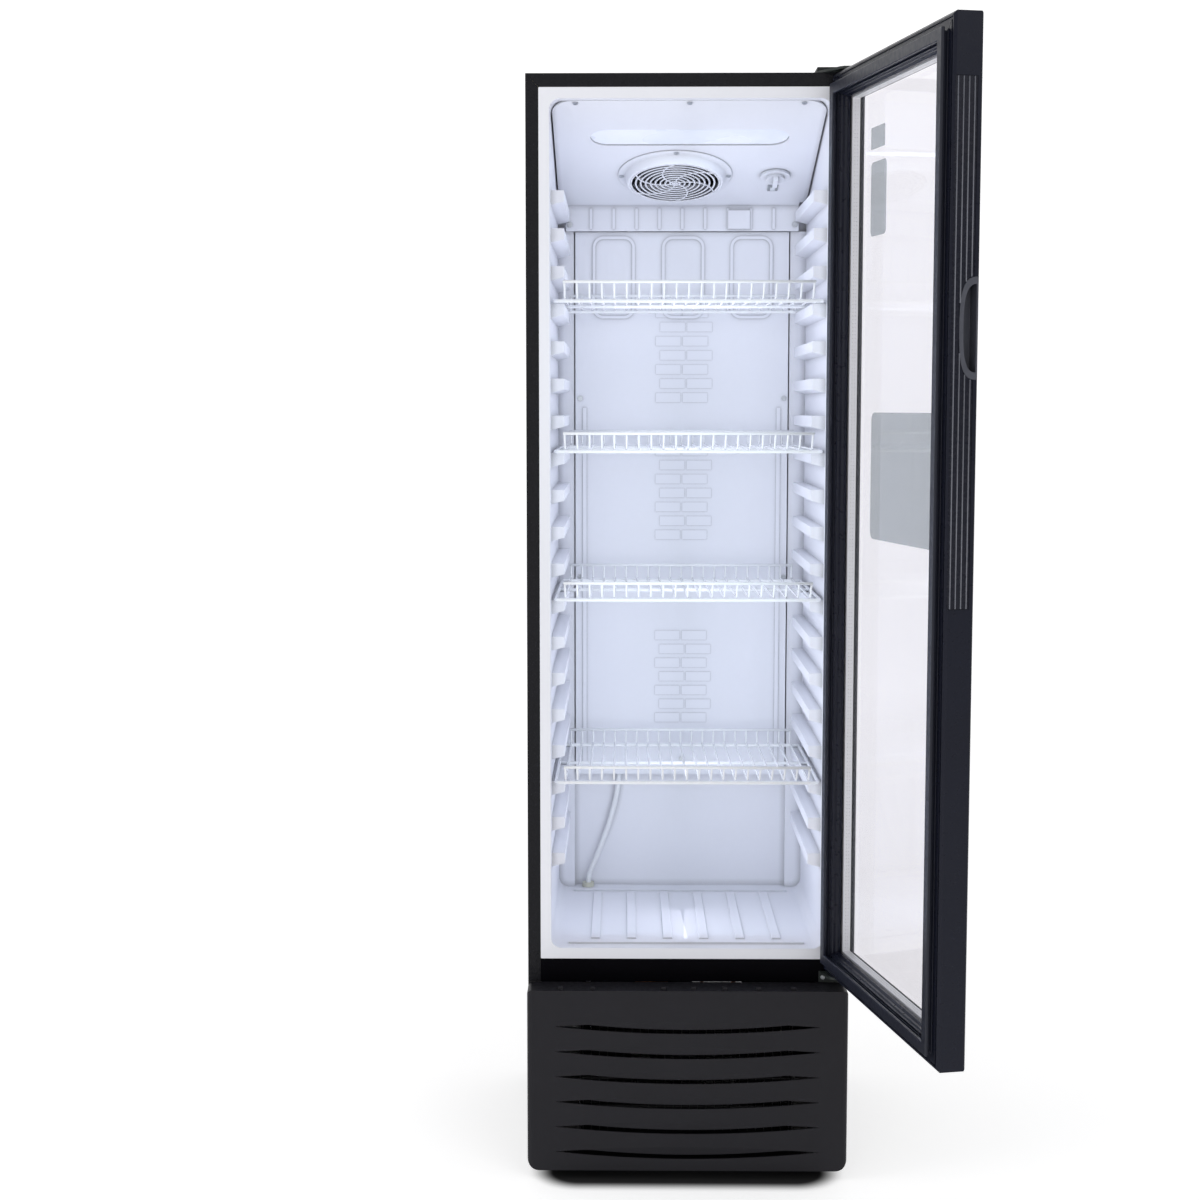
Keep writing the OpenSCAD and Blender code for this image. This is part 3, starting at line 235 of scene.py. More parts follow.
class Shader:
    """A node material under construction, with short ways to add and join nodes."""

    def __init__(self, name):
        self.material = bpy.data.materials.new(name)
        self.material.use_nodes = True
        self.tree = self.material.node_tree
        self.tree.nodes.clear()
        self.output = self.add("ShaderNodeOutputMaterial")
        self.coords = self.add("ShaderNodeTexCoord").outputs["Object"]

    def add(self, kind, **values):
        node = self.tree.nodes.new(kind)
        for key, value in values.items():
            setattr(node, key, value)
        return node

    def join(self, source, target):
        self.tree.links.new(source, target)

    def stretched(self, scale):
        mapping = self.add("ShaderNodeMapping")
        mapping.inputs["Scale"].default_value = scale
        self.join(self.coords, mapping.inputs["Vector"])
        return mapping.outputs["Vector"]

    def noise(self, scale, detail=3.0, distortion=0.0, coords=None):
        node = self.add("ShaderNodeTexNoise")
        node.inputs["Scale"].default_value = scale
        node.inputs["Detail"].default_value = detail
        node.inputs["Distortion"].default_value = distortion
        self.join(coords or self.coords, node.inputs["Vector"])
        return node.outputs["Fac"]

    def ramp(self, fac, low, high, start=0.3, end=0.7):
        node = self.add("ShaderNodeValToRGB")
        node.color_ramp.elements[0].position = start
        node.color_ramp.elements[1].position = end
        node.color_ramp.elements[0].color = low
        node.color_ramp.elements[1].color = high
        self.join(fac, node.inputs["Fac"])
        return node.outputs["Color"]

    def spread(self, fac, low, high):
        node = self.add("ShaderNodeMapRange")
        node.inputs["From Min"].default_value = 0.3
        node.inputs["From Max"].default_value = 0.7
        node.inputs["To Min"].default_value = low
        node.inputs["To Max"].default_value = high
        self.join(fac, node.inputs["Value"])
        return node.outputs["Result"]

    def maths(self, operation, first, second=None):
        """A math node; each side is a number or another node's output."""
        node = self.add("ShaderNodeMath", operation=operation)
        for socket, value in zip(node.inputs, (first, second)):
            if isinstance(value, float):
                socket.default_value = value
            elif value is not None:
                self.join(value, socket)
        return node.outputs["Value"]

    def paint_groove_shade(self, colour, amount):
        """Paints shade into a colour: darkens it a little in grooves and inside corners, where less light reaches.
        """
        hollow = self.add("ShaderNodeAmbientOcclusion")
        hollow.samples = 4
        hollow.inputs["Distance"].default_value = CREASE_SHADE_REACH
        keep = self.add("ShaderNodeMapRange")
        keep.inputs["From Min"].default_value = 0.45
        keep.inputs["From Max"].default_value = 0.97
        keep.inputs["To Min"].default_value = 1.0 - amount
        self.join(hollow.outputs["AO"], keep.inputs["Value"])
        scaled = self.add("ShaderNodeVectorMath", operation="SCALE")
        self.join(colour, scaled.inputs[0])
        self.join(keep.outputs["Result"], scaled.inputs["Scale"])
        return scaled.outputs["Vector"]

    def bump(self, height, strength, distance, normal=None):
        node = self.add("ShaderNodeBump")
        node.inputs["Strength"].default_value = strength
        node.inputs["Distance"].default_value = distance
        self.join(height, node.inputs["Height"])
        if normal:
            self.join(normal, node.inputs["Normal"])
        return node.outputs["Normal"]

    def leather_grain(self, normal):
        """Small rounded cells in relief, with wavy edges, over another relief."""
        cells = self.add("ShaderNodeTexVoronoi", feature="SMOOTH_F1")
        cells.inputs["Scale"].default_value = LEATHER_CELLS
        cells.inputs["Randomness"].default_value = 1.0
        waves = self.add("ShaderNodeTexNoise")
        waves.inputs["Scale"].default_value = LEATHER_WAVES
        self.join(self.coords, waves.inputs["Vector"])
        warp = self.add("ShaderNodeMix", data_type="VECTOR")
        warp.inputs["Factor"].default_value = 0.02
        self.join(self.coords, warp.inputs["A"])
        self.join(waves.outputs["Color"], warp.inputs["B"])
        self.join(warp.outputs["Result"], cells.inputs["Vector"])
        return self.bump(cells.outputs["Distance"], 0.9, LEATHER_DEPTH, normal)


def shade(colour, factor):
    return tuple(min(1.0, c * factor) for c in colour) + (1.0,)


def finish(name, colour, rough, metallic=0.0, mottle=0.08, mottle_scale=9.0, grain=0.15, grain_scale=900.0,
           grain_depth=0.00008, coat=0.0, brushed=None, leather=False, specular=0.5, rough_spread=0.06,
           crease_shade=0.0):
    """A solid finish: mottled colour, uneven roughness, a fine grain in relief and, when asked, painted shade in
    grooves and inside corners.
    """
    s = Shader(name)
    bsdf = s.add("ShaderNodeBsdfPrincipled")
    s.join(bsdf.outputs["BSDF"], s.output.inputs["Surface"])
    broad = s.noise(mottle_scale, 4.0, 0.4)
    fine = s.noise(mottle_scale * 14, 2.0)
    both = s.add("ShaderNodeMix", data_type="FLOAT")
    both.inputs["Factor"].default_value = 0.35
    s.join(broad, both.inputs["A"])
    s.join(fine, both.inputs["B"])
    tone = both.outputs["Result"]
    painted = s.ramp(tone, shade(colour, 1 - mottle), shade(colour, 1 + mottle))
    # Painted shade: the colour is darkened in grooves and inside corners.
    if crease_shade:
        painted = s.paint_groove_shade(painted, crease_shade)
    s.join(painted, bsdf.inputs["Base Color"])
    s.join(s.spread(fine, rough - rough_spread, rough + rough_spread), bsdf.inputs["Roughness"])
    bsdf.inputs["Metallic"].default_value = metallic
    bsdf.inputs["Coat Weight"].default_value = coat
    bsdf.inputs["Coat Roughness"].default_value = 0.15
    bsdf.inputs["Specular IOR Level"].default_value = specular
    coords = s.stretched(brushed) if brushed else None
    height = s.noise(grain_scale, 2.0, 0.0, coords)
    normal = s.bump(height, grain, grain_depth)
    if leather:
        normal = s.leather_grain(normal)
    s.join(normal, bsdf.inputs["Normal"])
    return s.material


def clear_glass(name, tint=(0.96, 0.956, 0.967), haze=0.02):
    """A clear pane: mostly see-through, with a mirror-like sheen that grows at a glancing angle."""
    s = Shader(name)
    through = s.add("ShaderNodeBsdfTransparent")
    through.inputs["Color"].default_value = tint + (1.0,)
    sheen = s.add("ShaderNodeBsdfGlossy")
    smear = s.noise(3.0, 3.0, 0.5)
    s.join(s.spread(smear, haze * 0.5, haze * 2.0), sheen.inputs["Roughness"])
    s.join(s.ramp(smear, (0.86, 0.9, 0.92, 1), (0.95, 0.97, 0.98, 1)), sheen.inputs["Color"])
    s.join(s.bump(s.noise(2.0), 0.02, 0.001), sheen.inputs["Normal"])
    fresnel = s.add("ShaderNodeFresnel")
    fresnel.inputs["IOR"].default_value = 1.16
    facing_out = s.maths("SUBTRACT", 1.0, s.add("ShaderNodeNewGeometry").outputs["Backfacing"])
    blend = s.add("ShaderNodeMixShader")
    s.join(s.maths("MULTIPLY", fresnel.outputs["Fac"], facing_out), blend.inputs["Fac"])
    s.join(through.outputs["BSDF"], blend.inputs[1])
    s.join(sheen.outputs["BSDF"], blend.inputs[2])
    s.join(blend.outputs["Shader"], s.output.inputs["Surface"])
    return s.material


def lens_material():
    """Milky lens over the lamp, faintly lit from behind by a row of lights."""
    s = Shader("lamp_lens")
    bsdf = s.add("ShaderNodeBsdfPrincipled")
    s.join(bsdf.outputs["BSDF"], s.output.inputs["Surface"])
    glow = s.noise(14.0, 2.0)
    s.join(s.ramp(glow, (0.78, 0.82, 0.9, 1), (0.86, 0.89, 0.95, 1)), bsdf.inputs["Base Color"])
    s.join(s.spread(glow, 0.22, 0.34), bsdf.inputs["Roughness"])
    bsdf.inputs["Emission Color"].default_value = (0.86, 0.91, 1.0, 1)
    bsdf.inputs["Emission Strength"].default_value = LAMP_GLOW
    lines = s.add("ShaderNodeTexWave", wave_type="BANDS", bands_direction="X")
    lines.inputs["Scale"].default_value = 120.0
    s.join(s.coords, lines.inputs["Vector"])
    s.join(s.bump(lines.outputs["Fac"], 0.15, 0.0002), bsdf.inputs["Normal"])
    return s.material


def label_film():
    """Blank label: a thin grey film that lets a good part of the light through."""
    s = Shader("label_film")
    mottled = s.noise(30.0, 3.0)
    bsdf = s.add("ShaderNodeBsdfPrincipled")
    s.join(s.ramp(mottled, (0.6, 0.65, 0.66, 1), (0.66, 0.7, 0.71, 1)), bsdf.inputs["Base Color"])
    s.join(s.spread(mottled, 0.4, 0.55), bsdf.inputs["Roughness"])
    s.join(s.bump(s.noise(700.0), 0.1, 0.0001), bsdf.inputs["Normal"])
    through = s.add("ShaderNodeBsdfTransparent")
    through.inputs["Color"].default_value = (0.96, 0.99, 0.99, 1)
    blend = s.add("ShaderNodeMixShader")
    blend.inputs["Fac"].default_value = 0.42
    s.join(through.outputs["BSDF"], blend.inputs[1])
    s.join(bsdf.outputs["BSDF"], blend.inputs[2])
    s.join(blend.outputs["Shader"], s.output.inputs["Surface"])
    return s.material


FINISHES = {
    "black_steel": dict(colour=(0.0045, 0.0045, 0.007), rough=0.4, leather=True, mottle=0.2, specular=0.2),
    "black_rail": dict(colour=(0.0015, 0.0013, 0.0025), rough=0.45, mottle=0.2, specular=0.03),
    "foam": dict(colour=(0.8, 0.7, 0.42), rough=0.9, grain=0.6, grain_scale=350.0, grain_depth=0.0006),
    # The two white plastics get painted shade in their grooves and inside corners.
    "white_liner": dict(colour=(0.865, 0.875, 0.93), rough=0.36, mottle=0.01, grain=0.03, grain_scale=60.0,
                        specular=0.3, rough_spread=0.02, crease_shade=0.35),
    "white_plastic": dict(colour=(0.855, 0.87, 0.93), rough=0.34, mottle=0.01, grain=0.03, grain_scale=60.0,
                          specular=0.3, rough_spread=0.02, crease_shade=0.45),
    "screw_steel": dict(colour=(0.55, 0.57, 0.6), rough=0.3, metallic=1.0, mottle=0.15, mottle_scale=120.0),
    # Painted shade: the fan blade is coloured dark grey instead of its light grey, to stand for the shade inside
    # the fan housing behind the grille.
    "fan_plastic": dict(colour=(0.1, 0.105, 0.115), rough=0.45, mottle=0.08),
    "dark_plastic": dict(colour=(0.02, 0.022, 0.023), rough=0.5, mottle=0.15, grain=0.2, grain_scale=900.0,
                         specular=0.25),
    "fin_aluminium": dict(colour=(0.6, 0.62, 0.65), rough=0.35, metallic=1.0, mottle=0.12,
                          brushed=(1, 1, 12)),
    "hose_plastic": dict(colour=(0.86, 0.88, 0.9), rough=0.28, mottle=0.03, mottle_scale=60.0),
    "grommet_rubber": dict(colour=(0.62, 0.62, 0.52), rough=0.65, mottle=0.08, mottle_scale=90.0),
    "lamp_board": dict(colour=(0.85, 0.86, 0.84), rough=0.4, mottle=0.04),
    "grey_plastic": dict(colour=(0.33, 0.35, 0.38), rough=0.5, mottle=0.08, grain=0.2),
    "switch_plastic": dict(colour=(0.74, 0.77, 0.82), rough=0.3, mottle=0.03),
    "white_wire": dict(colour=(0.92, 0.94, 0.97), rough=0.22, mottle=0.02, mottle_scale=70.0, grain=0.2,
                       grain_scale=700.0, coat=0.3),
    "door_profile": dict(colour=(0.0075, 0.0088, 0.0175), rough=0.32, mottle=0.08, grain=0.02,
                         grain_scale=60.0, brushed=(8, 8, 1), specular=0.18),
    "spacer_aluminium": dict(colour=(0.86, 0.87, 0.88), rough=0.5, metallic=0.3, mottle=0.03,
                             grain=0.03, brushed=(12, 12, 1)),
    # Painted shade: the hole dots are grey to stand for the shade inside the spacer's holes.
    "spacer_hole": dict(colour=(0.36, 0.37, 0.38), rough=0.6, mottle=0.1),
    "gasket_rubber": dict(colour=(0.012, 0.014, 0.025), rough=0.4, mottle=0.15, grain=0.05,
                          grain_scale=200.0, specular=0.35),
    # Painted highlight: the beads are coloured much lighter than the black strip to show the highlights along its
    # ribs.
    "bead_painted_highlight": dict(colour=(0.15, 0.155, 0.185), rough=0.3, mottle=0.12, grain=0.05, grain_scale=60.0,
                         specular=0.5),
    "strip_plastic": dict(colour=(0.01, 0.011, 0.019), rough=0.26, mottle=0.08, grain=0.02, grain_scale=60.0,
                          brushed=(8, 8, 1), specular=0.2),
    "handle_plastic": dict(colour=(0.055, 0.058, 0.075), rough=0.36, mottle=0.1, grain=0.15,
                           grain_scale=900.0, specular=0.5),
    "bush_nylon": dict(colour=(0.72, 0.7, 0.62), rough=0.45, mottle=0.06),
    "hinge_steel": dict(colour=(0.03, 0.036, 0.034), rough=0.4, mottle=0.15, mottle_scale=60.0, specular=0.3),
    "base_plastic": dict(colour=(0.0135, 0.013, 0.0165), rough=0.5, mottle=0.08, grain=0.2, grain_scale=900.0,
                         specular=0.18),
    "pan_steel": dict(colour=(0.012, 0.012, 0.013), rough=0.45, mottle=0.2, mottle_scale=25.0, specular=0.3),
    "compressor_black": dict(colour=(0.008, 0.008, 0.009), rough=0.25, mottle=0.25, coat=0.4),
    "black_rubber": dict(colour=(0.016, 0.016, 0.017), rough=0.7, mottle=0.2, grain=0.4, grain_scale=1300.0),
    "condenser_black": dict(colour=(0.03, 0.03, 0.033), rough=0.45, metallic=0.4, mottle=0.2,
                            mottle_scale=30.0),
    "copper": dict(colour=(0.66, 0.3, 0.16), rough=0.32, metallic=1.0, mottle=0.25, mottle_scale=50.0),
    "cord_rubber": dict(colour=(0.013, 0.013, 0.014), rough=0.5, mottle=0.15, grain=0.25),
    "roller_plastic": dict(colour=(0.02, 0.02, 0.021), rough=0.5, mottle=0.15, grain=0.2),
}


def all_materials():
    made = {name: finish(name, **values) for name, values in FINISHES.items()}
    made["glass"] = clear_glass("glass")
    made["lamp_lens"] = lens_material()
    made["label_film"] = label_film()
    return made


MATERIALS = all_materials()

# Softened edges on the CAD pieces, in metres. A node that isn't named gets the default.
EDGE_DEFAULT = 0.0004
EDGE_SIZES = {
    "liner": 0.0022, "base_cover": 0.0005, "evaporator_cover": 0.0009, "duct_panel": 0.0009,
    "door_hinge_stile": 0.0007, "door_latch_stile": 0.0007, "door_top_rail": 0.0007,
    "door_bottom_rail": 0.0007,
    "handle_cup": 0.0008, "thermostat_knob": 0.0009, "top_hinge": 0.0008, "top_hinge_cover": 0.0012,
    "left_side_panel": 0.0003, "right_side_panel": 0.0003, "top_panel": 0.0003, "edge_strip": 0.0004,
}


def dress_cad_nodes():
    """Gives every CAD node its finish, joined vertices and softened edges."""
    slots = {p["node"]: p["material_slot"] for p in frame["record"]["subparts"]}
    for name, obj in NODES.items():
        mesh = obj.data
        mesh.materials.clear()
        mesh.materials.append(MATERIALS[slots[name]])
        for attribute in [a.name for a in mesh.attributes if a.name == "custom_normal"]:
            mesh.attributes.remove(mesh.attributes[attribute])
        for face in mesh.polygons:
            face.use_smooth = True
            face.material_index = 0
        weld = obj.modifiers.new("weld", "WELD")
        weld.merge_threshold = 0.00001
        flat = obj.modifiers.new("flat_faces", "DECIMATE")
        flat.decimate_type = "DISSOLVE"
        flat.angle_limit = math.radians(0.2)
        bevel = obj.modifiers.new("soft_edges", "BEVEL")
        bevel.width = EDGE_SIZES.get(name, EDGE_DEFAULT)
        bevel.segments = 2
        bevel.limit_method = "ANGLE"
        bevel.angle_limit = math.radians(40)
        bevel.harden_normals = True
        bevel.use_clamp_overlap = True


# ---------- Shelves ----------

RIM_R = 3.0 * MM
WIRE_R = 1.8 * MM
LIP_R = 2.6 * MM
LIP_LEAN = 24 * MM
LIP_UP = 26 * MM
REAR_UP = 25 * MM
WELD_DEPTH = 0.6 * MM
SHELF_CELLS = 20
CELL = 20.5 * MM


def shelf(name):
    """A welded wire shelf: a rod frame, bent wires from front lip to back stop, and cross rods."""
    low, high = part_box(name)
    rail = low.z + RIM_R
    deck = rail + RIM_R + WIRE_R - WELD_DEPTH
    centre = mid(low.x, high.x)
    half = high.x - centre - RIM_R
    front = low.y + LIP_R + LIP_LEAN
    back = high.y - RIM_R
    wire_half = CELL * SHELF_CELLS / 2
    lip_y = front - LIP_LEAN
    lip_z = deck + LIP_UP
    left = centre - half
    right = centre + half
    corners = [(left, front, rail), (right, front, rail), (right, back, rail), (left, back, rail)]
    parts = [tube(rounded_path(corners, 9 * MM, 5, True), RIM_R, 12, True)]
    middle = mid(front, back)
    parts.append(tube([(left, middle, rail), (right, middle, rail)], RIM_R, 12))
    for i in range(SHELF_CELLS + 1):
        x = centre + i * CELL - wire_half
        bend = [(x, lip_y, lip_z), (x, front + 1 * MM, deck), (x, back, deck), (x, back, deck + REAR_UP)]
        parts.append(tube(rounded_path(bend, 6 * MM, 4), WIRE_R, 8))
    near = centre - wire_half - 2 * MM
    far = centre + wire_half + 2 * MM
    parts.append(tube([(near, lip_y, lip_z), (far, lip_y, lip_z)], LIP_R, 12))
    parts.append(tube([(near, back, deck + REAR_UP), (far, back, deck + REAR_UP)], LIP_R, 12))
    build(name + "_wires", parts, MATERIALS["white_wire"], name, (name,))


# ---------- Tubes and cords ----------

def drain_hose():
    """The hose comes down behind the duct panel, leans left and goes through the floor's grommet."""
    low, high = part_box("drain_hose")
    grommet_low, grommet_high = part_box("drain_grommet")
    panel_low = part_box("duct_panel")[0]
    radius = 5 * MM
    down_x = mid(grommet_low.x, grommet_high.x)
    down_y = mid(grommet_low.y, grommet_high.y)
    top_x = high.x - radius
    top_y = high.y - radius
    rise = panel_low.z - grommet_high.z
    path = [
        (top_x, top_y, high.z - 1 * MM), (top_x - 12 * MM, top_y, panel_low.z + 40 * MM),
        (top_x - 18 * MM, top_y, grommet_high.z + rise * 0.84),
        (top_x - 32 * MM, top_y - 1 * MM, grommet_high.z + rise * 0.56),
        (top_x - 59 * MM, top_y - 5 * MM, grommet_high.z + rise * 0.22),
        (down_x + 1.5 * MM, down_y + 0.5 * MM, grommet_high.z + rise * 0.07),
        (down_x, down_y, grommet_high.z - 10 * MM), (down_x, down_y, low.z),
    ]
    tube_part = tube(rounded_path(path, 40 * MM, 8), radius - 0.2 * MM, 20)
    build("drain_hose_tube", [tube_part], MATERIALS["hose_plastic"], "cabinet", ("drain_hose",))


def super_ring(cx, cy, cz, half_x, half_y, power=4.0, count=24):
    """A ring of points round a soft-cornered rectangle at one height."""
    ring = []
    for k in range(count):
        c = math.cos(TAU * k / count)
        s = math.sin(TAU * k / count)
        x = math.copysign(abs(c) ** (2 / power), c) * half_x
        y = math.copysign(abs(s) ** (2 / power), s) * half_y
        ring.append((cx + x, cy + y, cz))
    return ring


def power_cord():
    """The cord leaves the back, coils once and a half against it and ends in a hanging two-blade plug."""
    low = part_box("power_cord")[0]
    radius = 3.4 * MM
    coil_r = 56 * MM
    coil_x = low.x + coil_r + 3.5 * MM
    coil_z = 200 * MM
    coil_rise = 8 * MM
    exit_x = FRONT.x - 30 * MM
    exit_z = 250 * MM
    near_back = CABINET_BACK + 5 * MM
    path = [(exit_x, low.y, exit_z), (exit_x, near_back, exit_z)]
    for degrees in range(40, 590, 10):
        angle = math.radians(degrees)
        path.append((coil_x + coil_r * math.cos(angle), near_back + coil_rise * degrees / 360,
                     coil_z + coil_r * math.sin(angle)))
    plug_x = coil_x - 10 * MM
    plug_y = CABINET_BACK + 15 * MM
    path.append((coil_x - 40 * MM, plug_y, 150 * MM))
    path.append((plug_x - 2 * MM, plug_y, 128 * MM))
    path.append((plug_x, plug_y, 108 * MM))
    parts = [tube(rounded_path(path, 12 * MM, 4), radius, 14)]
    body = []
    for z, half_x, half_y in ((114, 4, 4), (111, 5.4, 5.2), (108, 9, 6.6), (104, 11.6, 7.8), (92, 12, 8),
                              (80, 11.6, 7.8), (77.5, 10.6, 7), (76.6, 9, 5.6)):
        body.append(super_ring(plug_x, plug_y, z * MM, half_x * MM, half_y * MM))
    parts.append(loft(body[::-1]))
    collar = [(3.2 * MM, -1.2 * MM), (4.8 * MM, -1.2 * MM), (4.8 * MM, 1.2 * MM), (3.2 * MM, 1.2 * MM)]
    for z in (117, 121, 125):
        parts.append(moved(revolve(collar, 20), Matrix.Translation((plug_x - 0.6 * MM, plug_y, z * MM))))
    build("power_cord_flex", parts, MATERIALS["cord_rubber"], "cabinet", ("power_cord",))
    blades = []
    for x in (-6, 6):
        rings = []
        for z, half_x, half_y in ((77.5, 0.8, 3), (62, 0.8, 3), (60.4, 0.5, 2.4)):
            rings.append(super_ring(plug_x + x * MM, plug_y, z * MM, half_x * MM, half_y * MM, 8.0, 16))
        blades.append(loft(rings[::-1]))
    build("power_plug_blades", blades, MATERIALS["screw_steel"], "cabinet")


# ---------- Fan grille ----------

def fan_grille():
    """Concentric rings and curved arms on a shallow cone with a flange round it."""
    hole_r = 89 * MM
    open_r = 82 * MM
    drop = 18 * MM
    ring_count = 9
    ring_pitch = 8.7 * MM
    ring_half_width = 1.75 * MM
    ring_half_height = 1.25 * MM
    arm_count = 6
    arm_bend_r = 46 * MM
    arm_sweep = 118
    arm_steps = 14
    bar_z = drop - 1.3 * MM
    parts = []
    cone = [
        (hole_r - 2 * MM, 0.1 * MM), (hole_r + 11.4 * MM, 0.1 * MM), (hole_r + 12 * MM, 0.7 * MM),
        (hole_r + 11.6 * MM, 1.9 * MM), (hole_r + 10 * MM, 2.8 * MM), (hole_r + 2.5 * MM, 3.0 * MM),
        (hole_r - 0.5 * MM, 4.2 * MM), (open_r + 3.4 * MM, drop - 2.0 * MM),
        (open_r + 2 * MM, drop - 0.5 * MM), (open_r, drop), (open_r - 2 * MM, drop - 0.5 * MM),
        (open_r - 2.5 * MM, drop - 2.2 * MM), (open_r, drop - 3 * MM),
    ]
    parts.append(revolve(cone, 128))
    for i in range(ring_count):
        radius = ring_pitch * (i + 1)
        section = []
        for k in range(10):
            turn = TAU * k / 10
            section.append((radius + ring_half_width * math.cos(turn),
                            bar_z + ring_half_height * math.sin(turn)))
        parts.append(revolve(section))
    hub = [
        (0.01 * MM, bar_z - 1.2 * MM), (4.6 * MM, bar_z - 1.2 * MM), (5.2 * MM, bar_z),
        (4.4 * MM, bar_z + 1.2 * MM), (0.01 * MM, bar_z + 1.6 * MM),
    ]
    parts.append(revolve(hub, 32))
    for arm in range(arm_count):
        points = []
        for k in range(arm_steps + 1):
            turn = math.radians(180 - arm_sweep * k / arm_steps)
            points.append((arm_bend_r + arm_bend_r * math.cos(turn), arm_bend_r * math.sin(turn), bar_z))
        points = [p for p in points if math.hypot(p[0], p[1]) < open_r]
        parts.append(moved(tube(points, 1.5 * MM, 8), Matrix.Rotation(TAU * arm / arm_count, 4, "Z")))
    parts = [moved(p, COVER) for p in parts]
    build("fan_grille_rings", parts, MATERIALS["white_plastic"], "cabinet", ("fan_grille",))


# ---------- Door details ----------

# The closed door, placed from its hinge line. Its height is the hinge stile's.
HINGE_TO_FRONT = 27.3 * MM
HINGE_TO_EDGE = 20.3 * MM
DOOR_WIDTH = 530 * MM
SPACER_INSET = 43.5 * MM
DOOR_FRONT = HINGE.y - HINGE_TO_FRONT
DOOR_EDGE = HINGE.x + HINGE_TO_EDGE
DOOR_LEFT = DOOR_EDGE - DOOR_WIDTH
DOOR_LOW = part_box("door_hinge_stile")[0].z
DOOR_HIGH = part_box("door_hinge_stile")[1].z


def gasket():
    """Magnetic door seal: foot, folding bellows and a flat magnet tube, mitred at the corners."""
    outline = [
        (21.2, 42.1), (33.8, 42.1), (33.8, 43.4), (30.2, 44.0), (31.6, 45.6), (31.8, 46.6), (30.4, 48.0),
        (35.2, 48.3), (36.0, 49.2), (36.0, 52.6), (35.2, 53.4), (19.8, 53.4), (19.0, 52.6), (19.0, 49.2),
        (19.8, 48.3), (24.6, 48.0), (23.2, 46.6), (23.4, 45.6), (24.8, 44.0), (21.2, 43.4),
    ]
    scaled = [(a * MM, b * MM) for a, b in outline]
    part = door_loop(scaled, DOOR_LEFT, DOOR_EDGE, DOOR_LOW, DOOR_HIGH, DOOR_FRONT)
    seal = build("door_gasket_seal", [part], MATERIALS["gasket_rubber"], "door", ("door_gasket",),
                 smooth=False)
    soft = seal.modifiers.new("soft_edges", "BEVEL")
    soft.width = 0.5 * MM
    soft.segments = 2
    soft.limit_method = "ANGLE"
    soft.angle_limit = math.radians(25)


def spacer_holes():
    """Two rows of small breather holes along the inner faces of the glass spacer, drawn as flat dots whose grey is
    painted shade in the holes.
    """
    buried = 0.08 * MM
    proud = 0.08 * MM
    inset = SPACER_INSET - buried
    pitch = 6 * MM
    radius = 0.7 * MM
    rows = (13.4 * MM, 17.6 * MM)
    parts = []
    x_low = DOOR_LEFT + inset
    x_high = DOOR_EDGE - inset
    z_low = DOOR_LOW + inset
    z_high = DOOR_HIGH - inset

    def dot(x, depth, z, across, up, out):
        verts = []
        centre = Vector((x, DOOR_FRONT + depth, z))
        for k in range(8):
            turn = TAU * k / 8
            verts.append(DOOR @ (centre + across * radius * math.cos(turn) + up * radius * math.sin(turn)))
        lift = out * (buried + proud)
        verts += [DOOR @ (centre + (DOOR.inverted() @ v - centre) * 0.6 + lift) for v in verts]
        sides = [[k, (k + 1) % 8, 8 + (k + 1) % 8, 8 + k] for k in range(8)]
        return verts, sides + [list(range(8, 16)), list(range(8))[::-1]]

    depth_way = Vector((0, 1, 0))
    upright = int((z_high - z_low) / pitch)
    level = int((x_high - x_low) / pitch)
    for depth in rows:
        for i in range(1, upright):
            z = z_low + i * pitch
            parts.append(dot(x_low, depth, z, depth_way, Vector((0, 0, 1)), Vector((1, 0, 0))))
            parts.append(dot(x_high, depth, z, Vector((0, 0, 1)), depth_way, Vector((-1, 0, 0))))
        for i in range(1, level):
            x = x_low + i * pitch
            parts.append(dot(x, depth, z_low, Vector((1, 0, 0)), depth_way, Vector((0, 0, 1))))
            parts.append(dot(x, depth, z_high, depth_way, Vector((1, 0, 0)), Vector((0, 0, -1))))
    build("glass_spacer_holes", parts, MATERIALS["spacer_hole"], "door")


def edge_beads():
    """Four rounded beads along the ribs of the edge strip, stopping where the handle's rim is; their light grey is
    painted highlight on the rib tops.
    """
    handle_low, handle_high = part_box("handle_cup")
    strip_low, strip_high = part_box("edge_strip")
    centre_z = mid(handle_low.z, handle_high.z)
    half_rim = (handle_high.z - handle_low.z) / 2
    rim_reach = 28 * MM
    bead_r = 1.15 * MM
    first_bead = 11 * MM
    bead_pitch = 8 * MM
    parts = []
    for i in range(4):
        depth = first_bead + bead_pitch * i
        x = DOOR_LEFT + bead_r * 0.75
        y = DOOR_FRONT + depth
        share = max(0.0, 1 - (depth / rim_reach) ** 3)
        clear = half_rim * share ** (1 / 3) if share else 0
        runs = [(strip_low.z, strip_high.z)]
        if clear:
            runs = [(strip_low.z, centre_z - clear), (centre_z + clear, strip_high.z)]
        for bottom, top in runs:
            ends = [(x, y, bottom + bead_r), (x, y, top - bead_r)]
            parts.append(tube([DOOR @ Vector(p) for p in ends], bead_r, 12))
    build("edge_strip_beads", parts, MATERIALS["bead_painted_highlight"], "door")


# ---------- Setting ----------

FLOOR_GLOW = 0.56

# The patch of floor with a painted shadow under the cabinet, measured from FRONT, and how far its edge fades.
FOOTPRINT_HALF = 0.24
FOOTPRINT_FRONT = 0.076
FOOTPRINT_BACK = 0.5
FOOTPRINT_ROUND = 0.06
FADE_INSIDE = 0.015
FADE_OUTSIDE = 0.028


